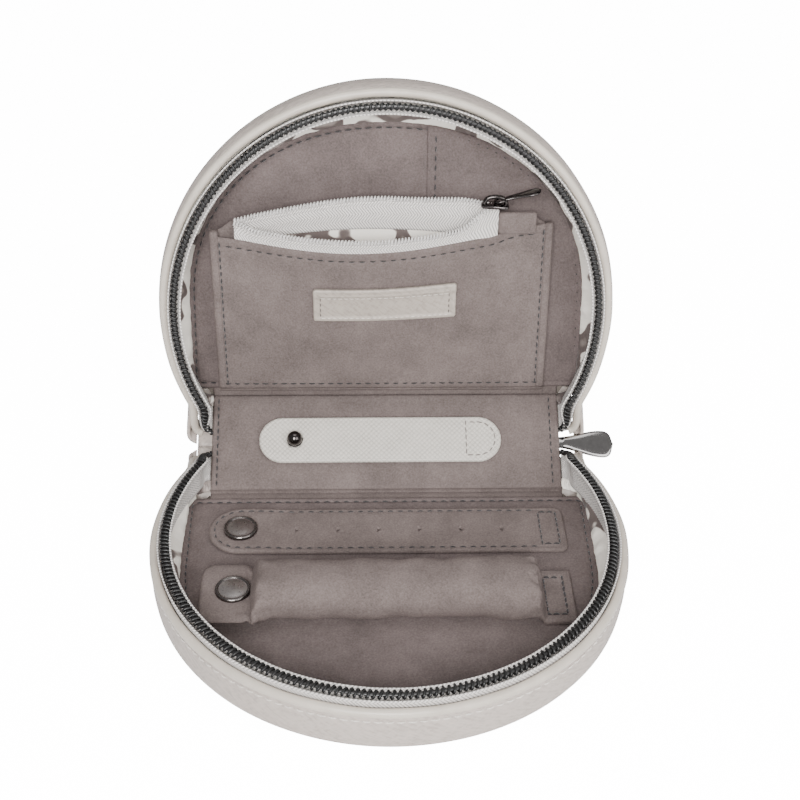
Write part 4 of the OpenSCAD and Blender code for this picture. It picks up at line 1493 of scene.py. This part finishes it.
def ring_roll():
    xs = spaced(ROLL_TAB_X + 0.05, ROLL_X1 + 1.6, 190)
    angles = [TAU * k / 72 for k in range(72)]

    def point(a, x):
        return tray(*roll_point(x, a))
    body = grid("ring_roll_suede", angles, xs, point, SUEDE, uv=lambda a, x: (x, a * 9), wrap_u=True)
    mend(body, fill=True)
    remesh = body.modifiers.new("Even", "REMESH")
    remesh.mode = "VOXEL"
    remesh.voxel_size = 1.0 * MM
    bake(body)

    def held(co):
        x = co.x / MM
        flat_tab = 1 - ramp(x, ROLL_X0 - 3.5, ROLL_X0 + 0.5)
        far = ramp(x, ROLL_X1 - 1.0, ROLL_X1 + 1.0)
        return max(flat_tab, far)
    simulate_cloth(body, 10, 18, 5.0, held, 1.1)
    for v in body.data.vertices:
        v.co.z = max(v.co.z, (FLOOR_Z + 0.42) * MM)
    smooth_mod = body.modifiers.new("Even", "CORRECTIVE_SMOOTH")
    smooth_mod.iterations = 2
    smooth_mod.factor = 0.3
    subdivide(body)
    shade_smooth(body.data)
    body.data.materials.clear()
    body.data.materials.append(SUEDE)
    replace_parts(body, "ring_roll_cover")
    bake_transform(body)
    cores = spaced(ROLL_X0 + 5.5, ROLL_X1 - 4.5, 60)

    def core_point(a, x):
        bx, by, bz = roll_point(x, a)
        middle = (roll_section(x)[1] + roll_section(x)[2]) / 2
        return tray(bx, lerp(ROLL_Y, by, 0.84), lerp(middle, bz, 0.80))
    core = grid("ring_roll_stuffing", angles, cores, core_point, FOAM, uv=lambda a, x: (x, a), wrap_u=True)
    fit(mend(core, fill=True), "foam", "ring_roll", "ring_roll_core")


def ring_end_tab():
    """The sewn end of the roll: a padded square with a raised, folded border."""
    x0, x1 = ROLL_X1 - 0.2, ROLL_END_X - 0.6
    y_mid, half_w = ROLL_Y + 1.3, 11.6

    def relief(x, y, d):
        inside = ramp(min(x1 - 2.6 - x, 8.6 - abs(y), x - x0 - 0.4), -0.4, 0.5)
        return -0.75 * inside + 0.1 * wobble(x, y, 0, 5, 4)
    piece = strap("ring_roll_end_suede", tray, x0, x1, rounded_width(x0, x1, half_w, 1.2), y_mid,
                  lambda x: FLOOR_Z + 0.3, 2.2, SUEDE, relief, steps=60, seam_depth=0.0, edge=0.9)
    fit(piece, "suede", "lower_case", "ring_roll_end_tab")
    box_stitches("ring_roll_box_stitches", x0 + 1.9, x1 - 2.9, 8.2, y_mid, FLOOR_Z + 1.78, pitch=2.5,
                 length=2.1, radius=0.42, sink=-0.3)


ring_roll()
ring_end_tab()
fit(snap_cap("ring_cap", ROLL_Y, FLOOR_Z + ROLL_TAB_LIFT + 2.1), "gunmetal", "ring_roll", "ring_snap_cap")


def snap_base(name, y, lift, body):
    """The snap's stud on the floor and the socket under the strap, which meet when it is shut."""
    stud = lathe(name + "_stud", [(0, -0.4), (4.6, -0.4), (4.8, -0.1), (4.5, 0.15), (2.4, 0.2), (2.1, 0.5),
                                  (2.2, lift), (1.9, lift + 0.4), (0, lift + 0.5)],
                 tray(SNAP_X, y, FLOOR_Z + 0.45), TRAY_UP, GUNMETAL, 48)
    fit(stud, "gunmetal", "lower_case", name + "_snap_stud")
    low = FLOOR_Z + lift
    socket = lathe(name + "_socket", [(2.5, 0.3), (2.5, -0.25), (2.9, -0.4), (4.4, -0.3), (4.7, 0.0),
                                      (4.6, 0.4), (2.5, 0.4)], tray(SNAP_X, y, low), TRAY_UP, GUNMETAL, 48)
    fit(socket, "gunmetal", body, name + "_snap_socket")


snap_base("earring", box_mm("earring_snap_cap")[0].y / 2 + box_mm("earring_snap_cap")[1].y / 2, SNAP_LIFT,
          "earring_strap")
snap_base("ring", ROLL_Y, ROLL_TAB_LIFT, "ring_roll")


# ---------------------------------------------------------------- the pouch

POUCH_HALF = 56.3
POUCH_H = 60.0
MOUTH_BOW = 9.5
TWIST = 3.0
FRONT_SAG = -3.6
BACK_RISE = 4.5
TAPE_H = 4.4
SLIDER_X = 36.4
MOUTH_X0, MOUTH_X1 = -48.2, SLIDER_X + 1.5


def mouth(x):
    """How far the mouth is open at x: 1 near the middle, 0 at its left end and the slider."""
    q = (x + 7.5) / (43.5 if x < -7.5 else 44.5)
    return math.cos(math.pi / 2 * max(-1.0, min(1.0, q))) ** 1.25 if abs(q) < 1 else 0.0


def across(x):
    return 1 - min(1.0, abs(x) / POUCH_HALF) ** 2


def lean_z(x, y):
    return -TWIST * (x / POUCH_HALF) * (y / POUCH_H)


def front_z(x, y):
    """The front sheet's place: bowed out at the mouth, and softly crumpled below it."""
    bow = MOUTH_BOW * mouth(x) * (max(y, 0) / POUCH_H) ** 1.5
    belly = 1.6 * across(x) * math.sin(math.pi * min(1, max(0, y / POUCH_H)) ** 0.8)
    soft = 0.35 * wobble(x, y, 0, 18, 1.7) * across(x) * ramp(y, 2, 14)
    return lean_z(x, y) + bow + belly * 0.6 + soft + 1.2


def front_top(x):
    return POUCH_H + FRONT_SAG * across(x) - 1.3 + 2.2 * ramp(x, SLIDER_X - 2, SLIDER_X + 9)


def back_top(x):
    return POUCH_H + (BACK_RISE - 0.5) * mouth(x) ** 0.8


def soft_piece(piece, node, slot, flatten=True):
    """A piece of the pouch. Those that bow out at its mouth get a mesh of their own."""
    fit(piece, slot, "pouch", *([node] if node else []))
    if flatten:
        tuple(POUCH_UP)
        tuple(pouch(0, POUCH_H, 0.6))
        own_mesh(piece)


def pouch_front():
    xs = spaced(-POUCH_HALF + 0.2, POUCH_HALF - 0.2, 96)
    ts = [0, 0.01, 0.03] + spaced(0.06, 0.92, 34) + [0.935, 0.95, 0.965, 0.98, 0.99, 1]

    def point(x, t):
        y = front_top(x) * t
        from_top = front_top(x) - y
        seam = -0.35 * bell(from_top - 3.0, 0.5) - 0.3 * bell(POUCH_HALF - abs(x) - 3.1, 0.5)
        roll = -0.4 * bell(from_top, 0.5) - 0.5 * bell(y, 0.8)
        return pouch(x, y, front_z(x, y) + 0.8 + seam + roll)
    piece = grid("pouch_front_suede", xs, ts, point, SUEDE, uv=lambda x, t: (x, t * 60))
    thicken(piece, 0.7, -1.0)
    soft_piece(piece, "pouch_front_panel", "suede")
    rows = []
    xs2 = spaced(-POUCH_HALF + 4.5, POUCH_HALF - 5.5, 60)
    top_row = [pouch(x, front_top(x) - 3.0, front_z(x, front_top(x) - 3.0) + 0.62) for x in xs2]
    rows.append(stitches("pouch_top_row", top_row, POUCH_UP, THREAD_PAINTED_SHADE, pitch=3.4, length=2.0,
                         radius=0.27, sink=-0.14))
    for side in (-1, 1):
        x = side * (POUCH_HALF - 3.1)
        ys = spaced(1.5, front_top(x) - 1.5, 50)
        row = [pouch(x, y, front_z(x, y) + 0.66) for y in ys]
        rows.append(stitches(f"pouch_side_row_{side + 1}", row, POUCH_UP, THREAD_PAINTED_SHADE, pitch=2.7,
                             length=2.0, radius=0.3, sink=-0.16))
    foot = [pouch(x, 2.3, front_z(x, 2.3) + 0.72) for x in spaced(-POUCH_HALF + 1.5, POUCH_HALF - 1.5, 60)]
    rows.append(stitches("pouch_foot_row", foot, POUCH_UP, THREAD_PAINTED_SHADE, pitch=3.2, length=2.1,
                         radius=0.3, sink=-0.16))
    soft_piece(join("pouch_front_stitches", rows), None, "suede")


def pouch_side_edges():
    """Folded suede bindings down both sides of the pouch."""
    parts = []
    for side in (-1, 1):
        ys = spaced(0.2, POUCH_H + 0.6, 40)
        loop = [(0.0, -1.6), (0.0, -0.6), (0.0, 0.6), (0.25, 1.35), (0.9, 1.75), (2.0, 1.8), (2.75, 1.6),
                (2.95, 1.2), (2.95, -0.4), (2.8, -1.2), (2.0, -1.75), (0.8, -1.8)]
        verts, faces, uvs = [], [], []
        for y in ys:
            for inner, z in loop:
                x = side * (POUCH_HALF + 0.15 - inner)
                soft = 0.12 * wobble(inner * 3, y, side, 6, 3)
                verts.append(pouch(x, y, lean_z(x, y) + z + 0.35 + soft + (0.25 if z > 0 else 0)))
        n = len(loop)
        for j in range(len(ys) - 1):
            for k in range(n):
                k2 = (k + 1) % n
                faces.append([j * n + k, j * n + k2, (j + 1) * n + k2, (j + 1) * n + k])
                uvs.append([(ys[j], k), (ys[j], k + 1), (ys[j + 1], k + 1), (ys[j + 1], k)])
        faces.append(list(range(n)))
        faces.append([(len(ys) - 1) * n + k for k in range(n)][::-1])
        uvs += [[(0, k) for k in range(n)], [(0, k) for k in range(n)]]
        parts.append(mend(new_piece(f"pouch_edge_{side + 1}", verts, faces, SUEDE, uvs)))
    piece = join("pouch_side_bindings", parts)
    subdivide(piece)
    soft_piece(piece, "pouch_side_seams", "suede", flatten=False)


def pouch_back():
    xs = spaced(-POUCH_HALF + 0.6, POUCH_HALF - 0.6, 80)
    ts = spaced(0, 1, 30)

    def point(x, t):
        # round shoulders at both top corners
        q = ramp(abs(x), POUCH_HALF - 9, POUCH_HALF)
        y = (back_top(x) + 3.2 * (1 - q) - 1.0 * q) * t
        return pouch(x, y, lean_z(x, y) - 1.15)
    piece = grid("pouch_back_suede", xs, ts, point, SUEDE, uv=lambda x, t: (x, t * 62))
    thicken(piece, 0.5, 0.0)
    soft_piece(piece, "pouch_back_panel", "suede", flatten=False)


def pouch_linings():
    xs = spaced(MOUTH_X0 + 0.8, SLIDER_X - 0.5, 70)
    ts = spaced(0, 1, 30)

    def back(x, t):
        y = 2 + (back_top(x) - 1.2) * t
        fold = 0.25 * wobble(x, y, 0, 9, 11) * ramp(y, 10, 30)
        return pouch(x, y, lean_z(x, y) - 0.55 + fold)

    def front(x, t):
        y = 2 + (front_top(x) - 2.6) * t
        return pouch(x, y, max(lean_z(x, y) + 0.4, front_z(x, y) - 0.25))
    for name, func, node in (("pouch_back_satin", back, "pouch_back_lining"),
                             ("pouch_front_satin", front, "pouch_front_lining")):
        piece = grid(name, xs, ts, func, LINING, uv=lambda x, t: (x, t * 60))
        thicken(piece, 0.3, 0.0)
        soft_piece(piece, node, "print_lining", flatten=name.startswith("pouch_front"))


def teeth_path(front):
    """Centre line of one row of the pouch's teeth, from its left end to the slider."""
    out = []
    for x in spaced(MOUTH_X0, MOUTH_X1, 110):
        left = ramp(x, MOUTH_X0 - 0.5, MOUTH_X0 + 7)
        right = 1 - ramp(x, MOUTH_X1 - 14, MOUTH_X1)
        # the closed line rises and leans out towards the slider, which stands proud of the lid
        reach = ramp(x, 6, SLIDER_X)
        closed_y = POUCH_H + TAPE_H + lerp(-1.2, 0.4, ramp(x, -40, 10)) + 2.9 * reach
        proud = lean_z(x, POUCH_H) + 3.3 * reach
        if front:
            y = lerp(closed_y, front_top(x) + 4.0, min(left, right))
            z = lerp(max(proud, lean_z(x, y) + 1.2), front_z(x, y) + 0.35, min(left, right ** 0.7))
        else:
            y = closed_y + (BACK_RISE + 0.9) * mouth(x) ** 0.9
            z = lerp(proud, lean_z(x, y) - 0.2, right) + 1.0 * (1 - left)
        out.append(Vector((x, y, z)))
    return out


def pouch_zip():
    for front in (True, False):
        label = "front" if front else "back"
        line = teeth_path(front)
        points = [pouch(*p) for p in line]
        ups = [POUCH_UP] * len(points)
        turns = coil(f"pouch_{label}_turns", points, ups, TEETH, pitch=1.08, width=1.45, height=1.0,
                     strand=0.3, sides=5, per_turn=10)
        soft_piece(turns, f"pouch_{label}_teeth", "pouch_teeth")
        low = (lambda x: front_top(x) - 1.0) if front else (lambda x: back_top(x) - 4.6)
        n = len(line)

        def point(i, t):
            p = line[i]
            y0 = low(p.x)
            y1 = p.y - 0.35
            y = lerp(y0, y1, t)
            if front:
                z = lerp(front_z(p.x, y0) + 0.25, p.z - 0.3, t ** 0.9)
            else:
                z = lerp(lean_z(p.x, y0) - 0.15, p.z - 0.1, t)
            ridge = 0.28 * bell(y1 - y - 1.1, 0.22)
            return pouch(p.x, y, z + ridge)
        rows = spaced(0, 0.75, 10) + spaced(0.77, 1, 10)
        tape = grid(f"pouch_{label}_webbing", list(range(n)), rows, point, POUCH_TAPE,
                    uv=lambda i, t: (i * 0.93, t * (5 if front else 9)))
        thicken(tape, 0.35, 0.0)
        soft_piece(tape, f"pouch_{label}_tape", "zipper_tape")


def pouch_end_tab():
    """A folded suede tab over the right-hand end of the zipper."""
    x0, x1 = SLIDER_X + 1.4, 50.6

    def relief(x, y, d):
        return 0.35 * math.sin((x - x0) * 0.9) * ramp(d, 0, 1.5) - 0.35 * bell(x - (x0 + 3.0), 0.35)
    z0 = lean_z(46, POUCH_H) + 0.9
    piece = strap("pouch_end_suede", pouch, x0, x1, rounded_width(x0, x1, 3.9, 1.2), POUCH_H + 1.1,
                  lambda x: z0, 2.0, SUEDE, relief, steps=50, seam_depth=0.0, edge=0.8)
    soft_piece(piece, "pouch_end_tab", "suede", flatten=False)


def label_plate():
    x0, x1 = -23.0, 24.6
    y_mid, half = 35.4, 6.4

    def place_on_front(x, y, z):
        return pouch(x, y, front_z(x, y) + 0.8 + z)

    def relief(x, y, d):
        band = 0.7 * ramp(y, half - 3.3, half - 2.9)
        well = -0.3 * ramp(d, 1.5, 2.1) * (1 - ramp(y, half - 3.6, half - 3.2))
        return band + well
    piece = strap("label_plate_leather", place_on_front, x0, x1, rounded_width(x0, x1, half, 0.9), y_mid,
                  lambda x: 0.05, 1.25, LABEL_LEATHER, relief, steps=110, seam_inset=1.7,
                  seam_depth=0.12, edge=0.6)
    soft_piece(piece, "label_plate", "label_leather")
    rows = []
    for k, x in enumerate((x0 + 2.4, x1 - 2.4)):
        points = [place_on_front(x, y_mid + y, 1.16) for y in spaced(-half + 1.4, half - 3.2, 14)]
        rows.append(stitches(f"label_row_{k}", points, POUCH_UP, THREAD_PAINTED_SHADE, pitch=2.2, length=1.3,
                             radius=0.14, sink=0.0))
    for k, y in enumerate((-half + 1.3, half - 3.6)):
        points = [place_on_front(x, y_mid + y, 1.2) for x in spaced(x0 + 2.4, x1 - 2.4, 60)]
        rows.append(stitches(f"label_line_{k}", points, POUCH_UP, THREAD_LIGHT, pitch=1.9, length=1.5,
                             radius=0.13, sink=0.0))
    soft_piece(join("label_plate_stitches", rows), None, "label_leather")


def pouch_hem():
    """The folded strip that sews the pouch's foot to the lid."""
    xs = spaced(-POUCH_HALF, POUCH_HALF, 60)
    loop = [(4.6, 4.6), (4.4, 5.6), (4.6, 6.6), (5.4, 7.2), (6.1, 7.0), (6.3, 6.0), (6.2, 4.9), (5.4, 4.5)]
    centre_x = POUCH_PIVOT.x / MM

    def point(k, x):
        u, n = loop[k]
        return lid(x + centre_x, u + 0.1 * wobble(x, u, 0, 9, 2), n)
    piece = grid("pouch_hem_suede", list(range(len(loop))), xs, point, SUEDE,
                 uv=lambda k, x: (x, k), wrap_u=True)
    fit(mend(piece, fill=True), "suede", "lid", "pouch_hem")


pouch_front()
pouch_side_edges()
pouch_back()
pouch_linings()
pouch_zip()
pouch_end_tab()
label_plate()
pouch_hem()


# ---------------------------------------------------------------- sliders and pulls

def plate_from(name, outline, thickness, place, material, bevel):
    """A flat plate with rounded edges. outline holds (x, y) points that place puts in a frame."""
    n = len(outline)
    verts = [place(x, y, thickness / 2) for x, y in outline]
    verts += [place(x, y, -thickness / 2) for x, y in outline]
    faces = [list(range(n)), list(range(n, 2 * n))[::-1]]
    faces += [[i, n + i, n + (i + 1) % n, (i + 1) % n] for i in range(n)]
    piece = mend(new_piece(name, verts, faces, material))
    rounding = piece.modifiers.new("Bevel", "BEVEL")
    rounding.width = bevel * MM
    rounding.segments = 3
    rounding.limit_method = "ANGLE"
    rounding.angle_limit = math.radians(40)
    rounding.harden_normals = False
    bake(piece)
    shade_smooth(piece.data)
    return piece


def leaf_outline(length, neck, belly, steps=20):
    """Half of a leaf from x = 0 to x = length, as (x, half width) points."""
    side = []
    for i in range(steps + 1):
        t = i / steps
        w = neck * (1 - t) + belly * math.sin(math.pi * min(1, t * 0.5 + 0.06)) * t ** 0.8
        tip = math.sqrt(max(0.0, 1 - max(0.0, (t - 0.72) / 0.28) ** 2))
        side.append((length * t, max(0.0, w * tip)))
    return side


def domed_blade(name, edge, shift, thick, dome, place, material):
    """A cast pull: its outline is edge's (x, half width) points, and its faces swell by dome mm."""
    xs = [x + shift for x, _ in edge]
    ws = [w for _, w in edge]

    def width_at(x):
        return max(0.03, float(np.interp(x, xs, ws)))

    def relief(x, y, d):
        return dome * (1 - min(1.0, abs(y) / width_at(x)) ** 2) * ramp(x, xs[0], xs[0] + 3)
    return strap(name, place, xs[0], xs[-1], width_at, 0, lambda x: -thick / 2, thick, material, relief,
                 steps=70, seam_depth=0.0, edge=0.6)


def pouch_slider():
    """The pouch's slider, and its pull, which rests on the suede."""
    sx = SLIDER_X
    sy = POUCH_H + TAPE_H + 3.9
    sz = lean_z(sx, POUCH_H) + 3.6

    def flat(x, z, y):
        return pouch(sx + x, sy + y, sz + z)
    body = [(-4.6, 1.2), (-3.4, 2.1), (0, 2.6), (2.8, 3.3), (4.0, 3.1), (4.4, 1.9), (4.4, -1.9),
            (4.0, -3.1), (2.8, -3.3), (0, -2.6), (-3.4, -2.1), (-4.6, -1.2)]
    top = plate_from("slider_top", body, 1.1, flat, DARK_METAL, 0.35)
    arch = [(-3.5, 0.2), (-3.3, 1.4), (-2.3, 2.5), (-0.5, 2.9), (1.2, 2.8), (2.6, 2.3), (3.4, 1.3),
            (3.6, 0.2)]
    path = catmull([pouch(sx + x, sy + y, sz) for x, y in arch], 4)
    bridge = tube("slider_bridge", path, 0.85, DARK_METAL, sides=10, flatten=0.8)
    piece = join("pouch_zip_slider", [top, bridge])
    fit(piece, "gunmetal", "pouch_slider", "pouch_slider")
    rise = math.radians(14)

    def leaf(x, z, t):
        c, s = math.cos(rise), math.sin(rise)
        return pouch(sx + 0.2 + x * c - t * s, sy + 1.35 + x * s + t * c, sz + z)
    blade = domed_blade("pull_blade", leaf_outline(12.4, 1.2, 2.9), 2.6, 0.8, 0.35, leaf, DARK_METAL)
    ring = [leaf(1.5 + 1.9 * math.cos(a), 1.75 * math.sin(a), 0) for a in spaced(0, TAU, 28)[:-1]]
    eye = tube("pull_eye", ring, 0.42, DARK_METAL, sides=8, closed=True)
    fit(join("pouch_zip_pull", [blade, eye]), "gunmetal", "pouch_pull", "pouch_pull_tab")


def main_slider():
    """The case zipper's parked slider and its teardrop pull."""
    x0, x1 = 50.5, 60.4
    droop = math.radians(8)
    pivot_x, pivot_n = 58.2, 1.4
    body = [(x0, 1.9), (x0 + 2, 3.4), (x0 + 6, 4.1), (x1 - 0.6, 3.9), (x1, 3.4), (x1, 2.6), (56.1, 2.6),
            (56.1, -2.6), (x1, -2.6), (x1, -3.4), (x1 - 0.6, -3.9), (x0 + 6, -4.1), (x0 + 2, -3.4),
            (x0, -1.9)]
    bottom = plate_from("main_slider_low", body, 0.9, lambda x, y, z: spine(x, SPINE_MID + y, z + 0.3),
                        BRIGHT, 0.3)
    top = plate_from("main_slider_high", [(x0, 1.9), (x0 + 2, 3.4), (56, 3.8), (56, -3.8), (x0 + 2, -3.4),
                                          (x0, -1.9)], 0.8,
                     lambda x, y, z: spine(x, SPINE_MID + y, z + 2.5), BRIGHT, 0.3)
    post = plate_from("main_slider_post", [(x0 + 0.2, 1.1), (x0 + 2.2, 1.1), (x0 + 2.2, -1.1),
                                           (x0 + 0.2, -1.1)], 2.4,
                      lambda x, y, z: spine(x, SPINE_MID + y, z + 1.4), BRIGHT, 0.2)
    pin_path = [spine(pivot_x, SPINE_MID + y, pivot_n) for y in spaced(-3.6, 3.6, 6)]
    pin = tube("main_slider_pin", pin_path, 0.75, BRIGHT, sides=14)
    lugs = [lathe(f"lug_{i}", [(0, -0.7), (1.3, -0.7), (1.5, -0.5), (1.5, 0.5), (1.3, 0.7), (0, 0.7)],
                  spine(pivot_x, SPINE_MID + s * 3.2, pivot_n),
                  SPINE_ALONG, BRIGHT, 28) for i, s in enumerate((-1, 1))]
    piece = join("case_slider", [bottom, top, post, pin, *lugs])
    fit(piece, "bright_metal", "spine", "main_slider")

    def pull_place(x, y, z):
        c, s = math.cos(droop), math.sin(droop)
        return spine(pivot_x + x * c + z * s, SPINE_MID + y, pivot_n - x * s + z * c)
    length = 22.0
    half = []
    for i in range(25):
        t = i / 24
        x = 1.2 + (length - 1.2) * t
        w = lerp(2.0, 5.0, smooth(t * 1.25))
        tip = max(0.0, 1 - max(0.0, (t - 0.8) / 0.2) ** 2.6) ** 0.5
        half.append((x, w * tip))
    blade = domed_blade("main_blade", half, 0.0, 1.1, 0.5, pull_place, POLISHED)
    eye = lathe("main_eye", [(0.85, -2.05), (1.45, -2.05), (1.6, -1.8), (1.6, 1.8), (1.45, 2.05),
                             (0.85, 2.05), (0.85, -2.05)], spine(pivot_x, SPINE_MID, pivot_n),
                SPINE_ALONG.normalized(), GUNMETAL, 32)
    fit(join("case_pull", [blade, eye]), "gunmetal", "main_pull", "main_pull_tab")


pouch_slider()
main_slider()


# ---------------------------------------------------------------- floor, light and camera

def studio():
    floor_size = 12.0
    floor = grid("studio_floor", [-floor_size, floor_size], [-floor_size, floor_size],
                 lambda x, y: Vector((x, y, -0.0003)), SUEDE)
    m = Maker("studio_floor", Roughness=0.9)
    m.shader.inputs["Base Color"].default_value = (0.93, 0.93, 0.93, 1)
    m.shader.inputs["Specular IOR Level"].default_value = 0.1
    # a lit backdrop: it glows to the eye but adds no light to the object
    seen = m.node("LightPath").outputs["Is Camera Ray"]
    m.shader.inputs["Emission Color"].default_value = (1, 1, 1, 1)
    m.link(m.maths("MULTIPLY", seen, 14.0), "Emission Strength")
    floor.data.materials.clear()
    floor.data.materials.append(m.material)
    world = bpy.context.scene.world or bpy.data.worlds.new("studio")
    bpy.context.scene.world = world
    world.use_nodes = True
    background = world.node_tree.nodes["Background"]
    background.inputs["Color"].default_value = (1.0, 1.0, 1.0, 1)
    tree = world.node_tree
    seen = tree.nodes.new("ShaderNodeLightPath").outputs["Is Camera Ray"]
    glow = tree.nodes.new("ShaderNodeMath")
    glow.operation = "MULTIPLY_ADD"
    tree.links.new(seen, glow.inputs[0])
    glow.inputs[1].default_value = 8.0
    glow.inputs[2].default_value = 0.42
    tree.links.new(glow.outputs[0], background.inputs["Strength"])
    for name, place, size, power in (("key", (-0.12, -0.98, 0.66), 0.5, 22.0),
                                     ("fill", (0.65, -0.7, 0.5), 0.7, 8.0),
                                     ("top", (0.05, 0.1, 1.1), 0.7, 4.5)):
        light = bpy.data.lights.new(name, "AREA")
        light.energy = power
        light.size = size
        light_obj = bpy.data.objects.new(name, light)
        light_obj.location = place
        aim = Vector((0, 0.03, 0.03)) - light_obj.location
        light_obj.rotation_euler = aim.to_track_quat("-Z", "Y").to_euler()
        bpy.context.scene.collection.objects.link(light_obj)


def camera():
    """The viewpoint: in front, a third of the way up, with a slight turn and roll."""
    down, turn, roll = math.radians(35.7327), math.radians(-2.1848), math.radians(0.9859)
    distance, target = 0.4935, Vector((0.00508, 0.06553, 0.02115))
    back = Vector((math.sin(turn) * math.cos(down), -math.cos(turn) * math.cos(down), math.sin(down)))
    right = Vector((math.cos(turn), math.sin(turn), 0))
    up = back.cross(right)
    right2 = right * math.cos(roll) + up * math.sin(roll)
    up2 = up * math.cos(roll) - right * math.sin(roll)
    data = bpy.data.cameras.new("camera")
    data.sensor_width = 36.0
    data.lens = 62.62
    cam = bpy.data.objects.new("camera", data)
    axes = Matrix((right2, up2, back)).transposed().to_4x4()
    cam.matrix_world = Matrix.Translation(target + back * distance) @ axes
    bpy.context.scene.collection.objects.link(cam)
    bpy.context.scene.camera = cam


studio()
camera()
